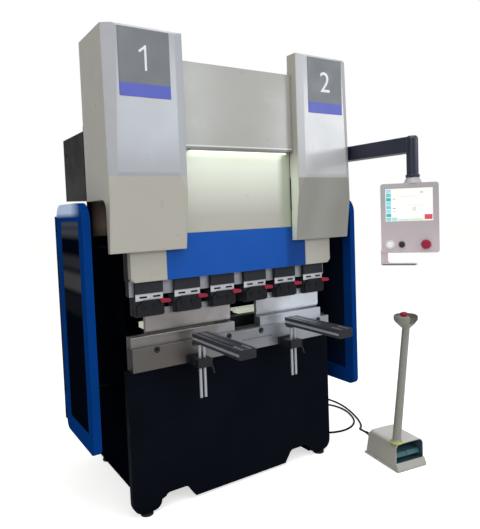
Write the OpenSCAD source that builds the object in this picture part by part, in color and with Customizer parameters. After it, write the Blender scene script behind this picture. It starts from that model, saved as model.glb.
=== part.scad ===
// Electric press brake with two servo-driven ball screws, tool clamps, back gauge,
// front support arms, control pendant and foot pedal.
// Millimetres, +Z up, the floor at z = 0, the operator stands on the -Y side.

/* [Tool line] */
// Working length of the bed and of the tool clamp row
bed_len = 1300; // [1100:10:1600]
// Height of the bed plate's top above the floor
bed_top = 890; // [820:5:960]
// Height of the bed plate
bed_h = 119; // [90:1:150]
// Depth of the bed plate, front to back
bed_depth = 80; // [70:5:120]
// Distance from the bed plate's front face back to the bending line
bend_y = 50; // [45:1:60]
// Height of the dies
die_h = 55; // [45:1:80]
// Width of the dies, front to back
die_w = 60; // [50:1:70]
// Opening of the V groove in the dies
vee_w = 16; // [10:1:24]
// Height of the punches, tip to shoulder
punch_h = 95; // [80:1:130]
// Thickness of the punches, front to back
punch_t = 26; // [22:1:32]
// Gap between punch tip and die top as drawn
tool_gap = 6; // [2:1:10]
// Number of tool clamps along the ram
clamp_count = 6; // [4:1:8]
// Width of one tool clamp
clamp_w = 150; // [120:1:160]
// Height of a tool clamp from the punch shoulder to the ram
clamp_h = 184; // [150:1:220]

/* [Frame] */
// Clear width between the two side frames
frame_gap = 1050; // [900:10:1200]
// Thickness of a side frame plate
frame_t = 52; // [40:1:60]
// Distance from the bed plate's front to the rear edge of the side frames
frame_rear = 880; // [800:10:1000]
// Depth of the throat behind the bed plate's front
throat_y = 430; // [380:10:500]
// Height of the throat's roof above the floor
throat_top = 1640; // [1600:10:1700]
// Height of the side frames
frame_h = 2310; // [2250:10:2380]
// Thickness of the base front plate
front_t = 40; // [30:1:45]
// Height of the frame's underside above the floor
foot_h = 15; // [12:1:25]

/* [Ram] */
// Thickness of the ram plate
ram_t = 80; // [70:1:90]
// Height of the ram's shoulders above its lower edge
ram_shoulder = 330; // [300:5:360]
// Height of the ram's middle above its lower edge
ram_rise = 820; // [780:5:860]
// Depth of the sheet covers in front of the ram
panel_d = 40; // [30:1:45]
// Height of the blue lower ram cover
panel_h = 230; // [180:5:260]
// Width of the blue lower ram cover
panel_w = 910; // [820:10:980]
// Diameter of the ball screws
screw_d = 50; // [40:1:56]

/* [Drive columns] */
// Overall width across both drive columns
column_span = 1526; // [1480:2:1600]
// Width of one drive column
column_w = 405; // [380:5:440]
// Distance of the column's crease in front of the bed plate
column_front = 120; // [100:5:140]
// Depth of the columns behind the bed plate's front
column_back = 250; // [220:5:280]
// Height of the columns' lower edge above the floor
column_z0 = 1382; // [1360:2:1400]
// Height of the crease in the column front
crease_z = 1764; // [1720:2:1820]
// Height of the columns' top
column_top = 2450; // [2400:5:2520]
// Thickness of the sheet-metal covers
sheet = 3; // [2:0.5:4]

/* [Back gauge] */
// Length of the back gauge's travel
gauge_travel = 400; // [300:10:450]

/* [Support arms] */
// Length of a sheet support arm
arm_len = 450; // [350:10:600]
// Width of the arm profile
arm_w = 90; // [80:1:100]
// Height of the arm profile
arm_h = 45; // [40:1:50]
// Distance of each arm from the machine's centre line
arm_x = 302; // [250:2:360]
// Diameter of the twin lift rods
rod_d = 16; // [12:1:20]
// Length of the twin lift rods
rod_len = 285; // [240:5:320]

/* [Pendant] */
// Height of the pendant beam
beam_h = 84; // [70:1:100]
// Reach of the beam from its pivot to the hanging tube
beam_reach = 555; // [450:5:650]
// Diameter of the hanging tube
tube_d = 64; // [50:1:80]
// Width of the control box
box_w = 306; // [280:2:360]
// Height of the control box
box_h = 384; // [340:2:420]
// Depth of the control box
box_d = 78; // [60:1:110]
// Angle at which the control box faces the operator
box_turn = -51; // [-70:1:-30]

/* [Foot pedal] */
// Width of the pedal housing
pedal_w = 218; // [200:2:260]
// Depth of the pedal housing
pedal_l = 312; // [280:2:340]
// Height of the pedal housing
pedal_h = 162; // [140:1:180]
// Height of the emergency stop head's lower end above the floor
post_top = 838; // [780:2:880]
// Diameter of the cable
cable_d = 13; // [10:0.5:16]

/* [Side guards] */
// Distance of the guards' outer face from the centre line
guard_x = 873; // [860:1:900]
// Depth of a guard, front to back
guard_l = 480; // [440:5:520]
// Height of a guard's lower edge above the floor
guard_z0 = 410; // [380:5:440]
// Height of a guard
guard_h = 1220; // [1150:5:1240]

/* [Fits] */
// Radial clearance of shafts and rods in their bores
run_clear = 0.05; // [0.02:0.01:0.1]
// Clearance between sliding or opening pieces
slide_clear = 0.5; // [0.3:0.1:1]

/* [Hidden] */

// Origin: the middle of the floor area taken up by the machine with its pendant and pedal.
machine_x = -77;
machine_y = -107;

// Heights of the tool line, from the bed up
die_top = bed_top + die_h;
tip_z = die_top + tool_gap;
shoulder_z = tip_z + punch_h;
ram_z = shoulder_z + clamp_h;
shoulder_top = ram_z + ram_shoulder;
ram_top = ram_z + ram_rise;
bed_z0 = bed_top - bed_h;
station = bed_len / clamp_count;
screw_shift = 24;
station_x = [for (i = [0:clamp_count - 1]) (i - (clamp_count - 1) / 2) * station];

// Side frames and base
frame_in = frame_gap / 2;
frame_out = frame_in + frame_t;
front_y = 40;
web_y = front_y + front_t;
jaw_y = 125;
throat_r = 80;
base_half = bed_len / 2 + 20;
leg_w = 160;
arch_z = 85;

// Ram
ram_y0 = bend_y - ram_t / 2;
ram_y1 = bend_y + ram_t / 2;
panel_y = ram_y0 - panel_d;
bar_h = 80;
bar_y0 = bend_y - 20;
bar_y1 = bend_y + 25;
core_half = 330;
screw_x = frame_in + frame_t / 2;
lift = 144;
drop = 6;

// Drive unit heights
housing_z = 1840;
housing_h = 140;
mount_t = 20;
mount_z = housing_z + housing_h;
pulley_z = mount_z + mount_t + 8;
pulley_h = 46;
screw_pulley_r = 64;
motor_pulley_r = 32;
belt_t = 5;
belt_gap = 0.4;
motor_x = 668;
motor_y = 90;
motor_w = 120;
motor_h = 240;
journal_r = 20;
nut_h = 90;

// Columns
column_out = column_span / 2;
column_in = column_out - column_w;
column_low = 70;
outer_fold_top = 66;
outer_fold_crease = 38;
outer_fold_depth = 39;
inner_fold = 46;
inner_fold_depth = 14;
cover_front = 60;
cover_z0 = 1893;
cover_top = 2334;

// Clamps
tang_t = 13;
tang_h = 30;
plate_t = 18;
plate_low = 9;
plate_top = 85;
head_z = 118;
lever_x = 62;
lever_z = 77;
pin_r = 6;

// Support arms
arm_top = die_top - 5;
arm_y0 = -65;
rod_y = -80;
rod_gap = 26;
block_z0 = bed_z0 - 9;
block_h = 45;
block_front = -112;

// Pendant
pivot_x = 820;
pivot_y = 20;
beam_w = 84;
beam_z = 1853;
pivot_r = 15;
tube_x = pivot_x;
tube_y = pivot_y - beam_reach;
collar_top = 1716;
box_top = 1684;
box_shift = -20;
face_y = -45;
control_z = 46;

// Guards
guard_t = 38;
guard_y0 = -25;
guard_y1 = guard_y0 + guard_l;
stile = 74;
rail_h = 88;
guard_r = 95;
hinge_r = 10;
hinge_x = guard_x - 14;
hinge_y = guard_y1 + 18;

// Cabinet
cab_x0 = 600;
cab_x1 = 763;
cab_y0 = 262;
cab_y1 = 648;
cab_z0 = 1655;
cab_z1 = 2004;
door_t = 20;

// Back gauge
gauge_z = 862;
gauge_beam_h = 75;
gauge_rail_x = frame_in - 55;
gauge_y0 = 150;
gauge_rest = 165;
gauge_rail_len = 620;

// Pedal
pedal_x = 769;
pedal_y = -433;
pedal_turn = -8.5;
wall = 5;
post_r = 22;
post_x = 36;
post_y = 52;
post_lean = 7.5;
head_x = post_x + (post_top - pedal_h) * tan(post_lean);
stop_x = head_x - 12;
treadle_y = 256;
treadle_z = 76;

// One edge of a circle as points, from angle a0 to a1.
function arc(c, r, a0, a1, n = 6) =
    [for (i = [0:n]) let(a = a0 + (a1 - a0) * i / n) [c[0] + r * cos(a), c[1] + r * sin(a)]];

// Rectangle with rounded corners, as points.
function round_rect(x0, y0, x1, y1, r, n = 5) = concat(
    arc([x1 - r, y1 - r], r, 0, 90, n), arc([x0 + r, y1 - r], r, 90, 180, n),
    arc([x0 + r, y0 + r], r, 180, 270, n), arc([x1 - r, y0 + r], r, 270, 360, n));

// Moves the machine's own axes (centre line, bed front, floor) to the origin.
module at_machine() translate([machine_x, machine_y, 0]) children();

// A profile drawn in Y and Z, made t thick along X from x0.
module plate_yz(x0, t) translate([x0, 0, 0]) rotate([90, 0, 90]) linear_extrude(t) children();

// A profile drawn in X and Z, made t thick along Y from y0.
module plate_xz(y0, t) translate([0, y0 + t, 0]) rotate([90, 0, 0]) linear_extrude(t) children();

// The piece on the right, or its mirror image on the left.
module on_side(side) {
    if (side > 0) children();
    else mirror([1, 0, 0]) children();
}

// The piece on the right and its mirror image.
module both_sides() {
    children();
    mirror([1, 0, 0]) children();
}

// A box from one corner to the other.
module block(low, high) translate(low) cube(high - low);

// ---------- Frame ----------

// The two C-shaped side plates, with a deep throat behind the bending line.
module side_frames() {
    color("#14161c") at_machine() both_sides() plate_yz(frame_in, frame_t) polygon(concat(
        [[web_y, foot_h], [web_y, bed_z0], [bed_depth + 2, bed_z0], [bed_depth + 2, bed_top + 10]],
        arc([throat_y - throat_r, bed_top + 10 + throat_r], throat_r, 270, 360),
        arc([throat_y - throat_r, throat_top - throat_r], throat_r, 0, 90),
        [[jaw_y, throat_top], [jaw_y, frame_h], [frame_rear - 180, frame_h],
         [frame_rear, frame_h - 180], [frame_rear, foot_h]]));
}

// Front plate of the base: two legs, arches beside them and a skirt, with the web under the bed.
module base_front() {
    leg_in = base_half - leg_w;
    skirt = 322;
    half = concat(
        [[0, foot_h], [skirt - 14, foot_h]],
        arc([skirt + 50, arch_z - 30], 30, 150, 90, 4),
        arc([leg_in - 50, arch_z - 30], 30, 90, 30, 4),
        arc([leg_in + 45, foot_h + 45], 45, 180, 270),
        arc([base_half - 60, foot_h + 60], 60, 270, 360),
        [[base_half, bed_z0], [0, bed_z0]]);
    color("#101219") at_machine() {
        both_sides() plate_xz(front_y, front_t) polygon(half);
        block([-frame_in, web_y, bed_z0 - 40], [frame_in, web_y + 60, bed_z0]);
    }
}

// Rear tie between the side frames with the rear sheet above it, upper crossbeam and its roof plate.
module cross_ties() {
    beam_y1 = jaw_y + 35;
    color("#14161c") at_machine() {
        block([-frame_in, frame_rear - 40, 120], [frame_in, frame_rear, 480]);
        block([-frame_in, frame_rear - 200, 120], [frame_in, frame_rear - 40, 150]);
        block([-frame_in, jaw_y, throat_top + 20], [frame_in, beam_y1, frame_h - 30]);
        block([-frame_in, beam_y1, frame_h - 60], [frame_in, beam_y1 + 420, frame_h - 30]);
        block([-frame_in, frame_rear - 60, 1500], [frame_in, frame_rear - 30, 1900]);
        block([-frame_in, frame_rear - 39, 478], [frame_in, frame_rear - 35, 1502]);
    }
}

// Four levelling pads with their studs.
module levelling_feet() {
    color("#1c1d21") at_machine() both_sides() {
        for (p = [[base_half - leg_w / 2, front_y + 20], [screw_x, frame_rear - 90]])
            translate([p[0], p[1], 0]) {
                cylinder(r = 34, h = foot_h - 5, $fn = 48);
                translate([0, 0, foot_h - 5]) cylinder(r = 16, h = 5, $fn = 32);
            }
    }
}

// ---------- Bed and dies ----------

// Machined bed plate with the keyway for the dies and counterbores for its screws.
module bed_plate() {
    color("#8d8a88") at_machine() difference() {
        block([-bed_len / 2, 0, bed_z0], [bed_len / 2, bed_depth, bed_top]);
        block([-bed_len / 2 - 1, bend_y - 7, bed_top - 12], [bed_len / 2 + 1, bend_y + 7, bed_top + 1]);
        for (x = station_x) translate([x + screw_shift, -1, bed_top - 19]) rotate([-90, 0, 0])
            cylinder(r = 10, h = 15, $fn = 40);
    }
}

// Socket screws of the bed plate, set in their counterbores.
module bed_screws() {
    color("#2b2c30") at_machine() for (x = station_x) translate([x + screw_shift, 14, bed_top - 19]) rotate([90, 0, 0])
        difference() {
            cylinder(r = 9.5, h = 10, $fn = 40);
            translate([0, 0, 4]) cylinder(r = 4.6, h = 7, $fn = 6);
        }
}

// Key that centres the dies in the bed's groove.
module die_key() {
    key = bed_len / 2 - 6;
    color("#2d2f33") at_machine()
        block([-key, bend_y - 7 + 0.1, bed_top - 12], [key, bend_y + 7 - 0.1, bed_top + 10]);
}

// One die: V groove on top, keyway below.
module die(x0, x1) {
    half = die_w / 2;
    key = 7 + slide_clear;
    vee = vee_w / 2;
    edge = 2;
    plate_yz(x0, x1 - x0) polygon([
        [bend_y - half, bed_top], [bend_y - key, bed_top], [bend_y - key, bed_top + 10 + slide_clear],
        [bend_y + key, bed_top + 10 + slide_clear], [bend_y + key, bed_top], [bend_y + half, bed_top],
        [bend_y + half, die_top - edge], [bend_y + half - edge, die_top], [bend_y + vee, die_top],
        [bend_y, die_top - vee / tan(44)], [bend_y - vee, die_top],
        [bend_y - half + edge, die_top], [bend_y - half, die_top - edge]]);
}

// Two die sections with a free stretch between them.
module dies() {
    color("#b3b1ae") at_machine() {
        die(-bed_len / 2, -34);
        die(142, 602);
    }
}

// ---------- Covers ----------

// Plan of a drive column, grown inwards by t, seated on the side frame.
function column_plan(t) = [
    [column_in + t, -column_front + t], [column_out - t, -column_front + t], [column_out - t, column_back - t],
    [frame_out + t, column_back - t], [frame_out + t, jaw_y - t], [frame_in - 25 + t / 2, jaw_y - t],
    [column_in + t, panel_y - t / 2]];

// Space cut off a front corner by a bevel: x of its front edge, turn of its outward side and lean.
module corner_cut(x, turn, lean, t) {
    translate([x, -column_front, crease_z]) rotate([0, lean, turn])
        translate([-t, -150, -600]) cube([120, 300, 1500]);
}

// Outer form of a drive column, grown inwards by t: set back below the crease, the bevel of the
// outer corner runs out downwards.
module column_form(t) {
    low = column_z0 - 2 * t;
    turn = atan2(-outer_fold_top, outer_fold_depth);
    run_out = (outer_fold_top - outer_fold_crease) * cos(turn);
    difference() {
        intersection() {
            translate([0, 0, low]) linear_extrude(column_top - low) polygon(column_plan(t));
            plate_yz(column_in, column_w) polygon([
                [-column_front + t, column_top - 12 - t / 2], [-column_front + t, crease_z],
                [-column_low + t, column_z0], [-column_low + t, low], [column_back - t, low],
                [column_back - t, column_top - t], [-column_front + 12 + t / 2, column_top - t]]);
        }
        corner_cut(column_out - outer_fold_crease, turn, -atan2(run_out, column_top - crease_z), t);
        corner_cut(column_in + inner_fold, atan2(-inner_fold, -inner_fold_depth), 0, t);
    }
}

// Folded sheet cover of one drive column, open below for the ram and at the side by the guard.
module column_cover(side) {
    ram_path = shoulder_top + lift + 16;
    side_z = throat_top;
    side_y = -column_low + 24;
    color("#b9b5aa") at_machine() on_side(side) difference() {
        column_form(0);
        column_form(sheet);
        // room for the ram's wide part behind the column front
        block([column_in - 1, panel_y - 2.5, column_z0 - 8], [frame_out, jaw_y + 1, ram_path]);
        // open underside behind the front
        block([frame_out - 1, panel_y - 4, column_z0 - 8],
              [column_out - sheet, column_back + 1, side_z]);
        // slot for the bearing housing on the frame's jaw
        block([screw_x - 46, jaw_y - sheet - 1, housing_z - 1], [frame_out + sheet + 1, jaw_y, mount_z + mount_t + 1]);
        // cut-out in the outer side, with a rounded corner
        plate_yz(column_out - sheet - 1, sheet + 2) polygon(concat(
            [[column_back + 1, column_z0 - 8], [column_back + 1, side_z]],
            arc([side_y + 50, side_z - 50], 50, 90, 180), [[side_y, column_z0 - 8]]));
    }
}

module column_cover_left() { column_cover(-1); }
module column_cover_right() { column_cover(1); }

// Cover between the columns, with a return flange above the lamp.
module centre_cover() {
    half = column_in - slide_clear;
    color("#bdb9ae") at_machine() difference() {
        block([-half, -cover_front, cover_z0], [half, jaw_y, cover_top]);
        block([-half + sheet, -cover_front + sheet, cover_z0 + sheet],
              [half - sheet, jaw_y + 1, cover_top - sheet]);
        block([-half + sheet, panel_y - 5, cover_z0 - 1], [half - sheet, jaw_y + 1, cover_z0 + sheet + 1]);
        block([-half - 1, panel_y - 5, cover_z0 - 1], [half + 1, jaw_y + 1, ram_top + lift + 10]);
    }
}

// Lamp bar under the centre cover.
module work_lamp() {
    half = core_half - 20;
    color("#f3f6e4") at_machine() plate_yz(-half, 2 * half) polygon([
        [-cover_front + 3, cover_z0], [panel_y - 8, cover_z0],
        [panel_y - 8, cover_z0 - 9], [-cover_front + 10, cover_z0 - 16], [-cover_front + 3, cover_z0 - 12]]);
}

// ---------- Drives ----------

// Bearing housing on the frame's jaw and the plate that carries the motor.
module drive_mounts() {
    edge = motor_w / 2 + 4;
    color("#3a3d44") at_machine() both_sides() difference() {
        union() {
            block([screw_x - 45, bend_y - 70, housing_z], [screw_x + 45, jaw_y, mount_z]);
            block([screw_x - 45, bend_y - 75, mount_z], [motor_x + edge, motor_y + edge, mount_z + mount_t]);
        }
        translate([screw_x, bend_y, housing_z - 1])
            cylinder(r = journal_r + run_clear, h = housing_h + mount_t + 2, $fn = 64);
        translate([motor_x, motor_y, mount_z - 1]) cylinder(r = 30, h = mount_t + 2, $fn = 48);
        block([screw_x - 46, jaw_y, mount_z - 1],
              [frame_out + sheet + slide_clear, motor_y + edge + 1, mount_z + mount_t + 1]);
    }
}

// Servo motors hanging under their mounting plates.
module servo_motors() {
    color("#23252a") at_machine() both_sides() translate([motor_x, motor_y, 0]) difference() {
        union() {
            translate([-motor_w / 2, -motor_w / 2, mount_z - 14]) cube([motor_w, motor_w, 14]);
            translate([0, 0, mount_z - motor_h]) linear_extrude(motor_h - 14)
                polygon(round_rect(-motor_w / 2 + 5, -motor_w / 2 + 5, motor_w / 2 - 5, motor_w / 2 - 5, 16));
            translate([0, motor_w / 2 - 5, mount_z - motor_h + 40]) rotate([-90, 0, 0])
                cylinder(r = 17, h = 26, $fn = 32);
        }
        translate([0, 0, mount_z - 60]) cylinder(r = 12 + run_clear, h = 61, $fn = 48);
    }
}

// Toothed belt round the two pulleys of one drive, as a closed band.
module belt_loop(extra) {
    hull() {
        translate([screw_x, bend_y]) circle(r = screw_pulley_r + extra, $fn = 72);
        translate([motor_x, motor_y]) circle(r = motor_pulley_r + extra, $fn = 72);
    }
}

module drive_belts() {
    color("#1b1b1d") at_machine() both_sides() translate([0, 0, pulley_z + 5])
        linear_extrude(pulley_h - 10) difference() {
            belt_loop(belt_gap + belt_t);
            belt_loop(belt_gap);
        }
}

// Ball screw with its journal and pulley, turning in the bearing housing.
module ball_screw(side) {
    tail_z = shoulder_top - 120;
    color("#c9ccd1") at_machine() on_side(side) translate([screw_x, bend_y, 0]) {
        translate([0, 0, tail_z]) cylinder(d = screw_d, h = housing_z - slide_clear - tail_z, $fn = 64);
        translate([0, 0, housing_z - slide_clear - 1])
            cylinder(r = journal_r, h = pulley_z - housing_z + slide_clear + 2, $fn = 64);
        translate([0, 0, pulley_z]) rotate_extrude($fn = 72) polygon([
            [0, 0], [screw_pulley_r + 6, 0], [screw_pulley_r + 6, 4], [screw_pulley_r, 4],
            [screw_pulley_r, pulley_h - 4], [screw_pulley_r + 6, pulley_h - 4],
            [screw_pulley_r + 6, pulley_h], [0, pulley_h]]);
    }
}

module ball_screw_left() { ball_screw(-1); }
module ball_screw_right() { ball_screw(1); }

// Motor shaft with its small pulley.
module motor_pulley(side) {
    color("#aeb2b8") at_machine() on_side(side) translate([motor_x, motor_y, 0]) {
        translate([0, 0, mount_z - 58]) cylinder(r = 12, h = pulley_z - mount_z + 64, $fn = 48);
        translate([0, 0, pulley_z + 4.5]) cylinder(r = motor_pulley_r, h = pulley_h - 9, $fn = 64);
    }
}

module motor_pulley_left() { motor_pulley(-1); }
module motor_pulley_right() { motor_pulley(1); }

// Linear guide rails of the ram, on the upper crossbeam.
rail_x = 290;
rail_y0 = jaw_y - 20;
module ram_guide_rails() {
    rail_z0 = throat_top + 25;
    color("#a7abb1") at_machine() both_sides() translate([rail_x, 0, rail_z0])
        linear_extrude(frame_h - 40 - rail_z0) polygon([
            [-17, jaw_y], [-17, rail_y0 + 9], [-12, rail_y0 + 5], [-17, rail_y0], [17, rail_y0],
            [12, rail_y0 + 5], [17, rail_y0 + 9], [17, jaw_y]]);
}

// Guide carriages on the back of the ram, two on each rail.
module ram_carriages() {
    color("#7f848c") at_machine() both_sides() for (z = [ram_top - 340, ram_top - 100])
        translate([rail_x, 0, z]) linear_extrude(80) polygon([
            [-35, ram_y1], [35, ram_y1], [35, rail_y0 + 12],
            [17 + slide_clear, rail_y0 + 12], [17 + slide_clear, rail_y0 - slide_clear],
            [-17 - slide_clear, rail_y0 - slide_clear], [-17 - slide_clear, rail_y0 + 12],
            [-35, rail_y0 + 12]]);
}

// ---------- Ram ----------

// Ram plate: tool bar below, shoulders under the screws, raised middle; with the two ball nuts.
module ram_plate() {
    end = bed_len / 2 - 8;
    bore_r = screw_d / 2 + 3;
    color("#9b9da1") at_machine() {
        difference() {
            union() {
                plate_xz(ram_y0, ram_t) polygon([
                    [-end, ram_z], [end, ram_z], [end, shoulder_top], [core_half, shoulder_top],
                    [core_half, ram_top], [-core_half, ram_top], [-core_half, shoulder_top],
                    [-end, shoulder_top]]);
                block([-end, bar_y0, ram_z - bar_h], [end, bar_y1, ram_z]);
            }
            both_sides() translate([screw_x, bend_y, shoulder_top - 290])
                cylinder(r = bore_r, h = 291, $fn = 64);
        }
        both_sides() translate([screw_x, bend_y, shoulder_top]) difference() {
            union() {
                cylinder(r = 48, h = 18, $fn = 64);
                cylinder(r = 38, h = nut_h, $fn = 64);
            }
            translate([0, 0, -1]) cylinder(r = screw_d / 2 + run_clear, h = nut_h + 2, $fn = 64);
        }
    }
}

// A folded cover with returns to the ram, from its front outline and the same outline set in.
module folded_cover(outer, inner) {
    difference() {
        plate_xz(panel_y, panel_d) polygon(outer);
        plate_xz(panel_y + sheet, panel_d) polygon(inner);
    }
}

// Blue lower ram cover between the two end covers.
module ram_panel_centre() {
    half = panel_w / 2;
    z1 = ram_z + panel_h;
    color("#1a56ab") at_machine() folded_cover(
        [[-half, ram_z - 3], [half, ram_z - 3], [half, z1], [-half, z1]],
        [[-half + sheet, ram_z - 3 + sheet], [half - sheet, ram_z - 3 + sheet],
         [half - sheet, z1 - sheet], [-half + sheet, z1 - sheet]]);
}

// Light end covers of the ram, with a clipped lower outer corner.
module ram_panel_ends() {
    x0 = panel_w / 2 + slide_clear;
    x1 = bed_len / 2;
    z0 = ram_z - 2;
    z1 = shoulder_top - 4;
    clip = 20;
    color("#b5b0a4") at_machine() both_sides() folded_cover(
        [[x0, z0], [x1 - clip, z0], [x1, z0 + clip], [x1, z1], [x0, z1]],
        [[x0 + sheet, z0 + sheet], [x1 - clip - sheet / 2, z0 + sheet],
         [x1 - sheet, z0 + clip + sheet / 2], [x1 - sheet, z1 - sheet], [x0 + sheet, z1 - sheet]]);
}

// Light upper ram cover, which runs up behind the centre cover.
module ram_panel_upper() {
    half = column_in - 3;
    z0 = ram_z + panel_h + slide_clear;
    color("#c2c4bc") at_machine() folded_cover(
        [[-half, z0], [half, z0], [half, ram_top], [-half, ram_top]],
        [[-half + sheet, z0 + sheet], [half - sheet, z0 + sheet],
         [half - sheet, ram_top - sheet], [-half + sheet, ram_top - sheet]]);
}

// ---------- Tool clamps ----------

// Clamp body: hangs on the ram's tool bar, with the slot for the punch tang below.
module clamp_bodies() {
    slot = tang_t / 2 + slide_clear;
    front = bar_y0 - plate_t;
    color("#c4c5c7") at_machine() for (x = station_x) difference() {
        plate_yz(x - clamp_w / 2, clamp_w) polygon([
            [bend_y + slot, shoulder_z + 0.3], [bar_y1 + 20, shoulder_z + 0.3],
            [bar_y1 + 20, ram_z - bar_h], [bar_y0, ram_z - bar_h], [bar_y0, ram_z - 4],
            [front - 7, ram_z - 4], [front - 7, shoulder_z + head_z], [front, shoulder_z + head_z],
            [front, shoulder_z + 0.3], [bend_y - slot, shoulder_z + 0.3],
            [bend_y - slot, shoulder_z + tang_h + slide_clear],
            [bend_y + slot, shoulder_z + tang_h + slide_clear]]);
        for (s = [-1, 1]) block(
            [x + 4 + s * 37 - 20, front - 1, shoulder_z + head_z - 23],
            [x + 4 + s * 37 + 20, front + 8, shoulder_z + head_z - 14]);
        translate([x + lever_x, front - 1, shoulder_z + lever_z]) rotate([-90, 0, 0])
            cylinder(r = pin_r + 1, h = 12, $fn = 32);
    }
}

// Black front plate of a clamp, with a humped top and two round bolts.
module clamp_plates() {
    half = clamp_w / 2 - 2;
    hump = 50;
    z0 = shoulder_z + plate_low;
    y1 = bar_y0 - plate_t;
    color("#202227") at_machine() for (x = station_x) translate([x, 0, 0]) difference() {
        union() {
            plate_xz(y1 - plate_t, plate_t) polygon(concat(
                [[-half, z0], [half, z0]],
                arc([half - 12, shoulder_z + lever_z - 8], 12, 0, 90, 4),
                [[hump - 2, shoulder_z + plate_top]],
                arc([-hump + 14, shoulder_z + plate_top - 14], 14, 90, 180, 4),
                arc([-half + 12, shoulder_z + lever_z - 24], 12, 90, 180, 4)));
            for (s = [-1, 1]) translate([s * 30 - 4, y1 - plate_t, shoulder_z + 52]) rotate([90, 0, 0])
                difference() {
                    cylinder(r = 14, h = 6, $fn = 40);
                    translate([0, 0, 2]) cylinder(r = 6.5, h = 5, $fn = 6);
                }
        }
        translate([lever_x, y1 + 1, shoulder_z + lever_z]) rotate([90, 0, 0])
            cylinder(r = pin_r + run_clear, h = plate_t + 2, $fn = 48);
    }
}

// Red quick-release lever of one clamp, with its pin.
module clamp_lever(i) {
    y0 = bar_y0 - 2 * plate_t - slide_clear;
    color("#a3263c") at_machine() translate([station_x[i - 1] + lever_x, 0, shoulder_z + lever_z]) {
        translate([0, y0 + plate_t, 0]) rotate([90, 0, 0]) cylinder(r = pin_r, h = plate_t + 1, $fn = 48);
        plate_xz(y0 - 12, 12) polygon(concat(
            arc([0, 0], 12, 100, 260, 10), arc([35, -3], 9, -90, 90, 8)));
    }
}

module clamp_lever_1() { clamp_lever(1); }
module clamp_lever_2() { clamp_lever(2); }
module clamp_lever_3() { clamp_lever(3); }
module clamp_lever_4() { clamp_lever(4); }
module clamp_lever_5() { clamp_lever(5); }
module clamp_lever_6() { clamp_lever(6); }

// One punch section: 86 degree tip, flat front and rear, tang above the shoulder.
module punch(x0, x1) {
    half = punch_t / 2;
    tang = tang_t / 2;
    neck = 9;
    plate_yz(x0, x1 - x0) polygon([
        [bend_y - 0.6, tip_z], [bend_y + 0.6, tip_z], [bend_y + neck, tip_z + 9],
        [bend_y + half, tip_z + 22], [bend_y + half, shoulder_z], [bend_y + tang, shoulder_z],
        [bend_y + tang, shoulder_z + tang_h], [bend_y - tang, shoulder_z + tang_h],
        [bend_y - tang, shoulder_z], [bend_y - half, shoulder_z],
        [bend_y - half, tip_z + 22], [bend_y - neck, tip_z + 9]]);
}

// Two punch sections with a free stretch between them.
module punches() {
    color("#aeb0b3") at_machine() {
        punch(-560, -50);
        punch(130, 598);
    }
}

// ---------- Back gauge ----------

// Rails of the back gauge on brackets welded to the side frames.
module gauge_rails() {
    color("#8b9097") at_machine() both_sides() {
        block([gauge_rail_x - 30, gauge_y0, gauge_z - 60],
              [gauge_rail_x + 30, gauge_y0 + gauge_rail_len, gauge_z - 45]);
        block([gauge_rail_x + 30, gauge_y0 + 40, gauge_z - 60], [frame_in, gauge_y0 + 120, gauge_z - 45]);
        block([gauge_rail_x + 30, gauge_y0 + gauge_rail_len - 120, gauge_z - 60],
              [frame_in, gauge_y0 + gauge_rail_len - 40, gauge_z - 45]);
        block([gauge_rail_x - 12, gauge_y0, gauge_z - 45], [gauge_rail_x + 12, gauge_y0 + gauge_rail_len, gauge_z - 22]);
    }
}

// Travelling beam of the back gauge on its two carriages.
module gauge_beam() {
    half = frame_in - 35;
    y0 = gauge_rest;
    color("#35383d") at_machine() {
        both_sides() difference() {
            block([gauge_rail_x - 28, y0, gauge_z - 40], [gauge_rail_x + 28, y0 + 110, gauge_z]);
            block([gauge_rail_x - 12 - slide_clear, y0 - 1, gauge_z - 41],
                  [gauge_rail_x + 12 + slide_clear, y0 + 111, gauge_z - 22 + slide_clear]);
        }
        difference() {
            block([-half, y0 + 10, gauge_z], [half, y0 + 100, gauge_z + gauge_beam_h]);
            block([-half - 1, y0 + 20, gauge_z + 10], [half + 1, y0 + 90, gauge_z + gauge_beam_h - 10]);
        }
    }
}

// Stop that slides along the gauge beam: carriage, long stop bar and the nose behind the die.
module gauge_finger(side) {
    y0 = gauge_rest;
    z0 = gauge_z + gauge_beam_h;
    inner = 75;
    outer = frame_in - 8;
    color("#dfe6d6") at_machine() on_side(side) {
        plate_xz(y0 + 10, 64) polygon([
            [inner + 17, z0 + 11], [outer, z0 + 11], [outer, z0 + 41], [inner, z0 + 41],
            [inner, z0 + 24], [inner + 17, z0 + 24]]);
        block([250, y0 + 14, z0 + 0.3], [340, y0 + 96, z0 + 12]);
        block([inner + 145, y0 - 20, z0 + 3], [inner + 195, y0 + 11, z0 + 41]);
    }
}

module gauge_finger_left() { gauge_finger(-1); }
module gauge_finger_right() { gauge_finger(1); }

// ---------- Support arms ----------

// Clamp blocks on the bed's front face that guide the lift rods.
module arm_brackets() {
    color("#1a1b20") at_machine() for (side = [-1, 1]) translate([side * arm_x, 0, 0]) difference() {
        union() {
            block([-40, block_front, block_z0], [40, -14, block_z0 + block_h]);
            block([-52, -14, bed_z0], [52, 0, block_z0 + block_h + 8]);
            translate([-40, rod_y - 4, block_z0 + 26]) rotate([0, -90, 0]) cylinder(r = 8, h = 14, $fn = 32);
        }
        for (s = [-1, 1]) translate([s * rod_gap / 2, rod_y, block_z0 - 1])
            cylinder(r = rod_d / 2 + run_clear, h = block_h + 2, $fn = 48);
        translate([41, rod_y - 4, block_z0 + 26]) rotate([0, -90, 0])
            cylinder(r = pin_r + run_clear, h = 16, $fn = 40);
    }
}

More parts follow.
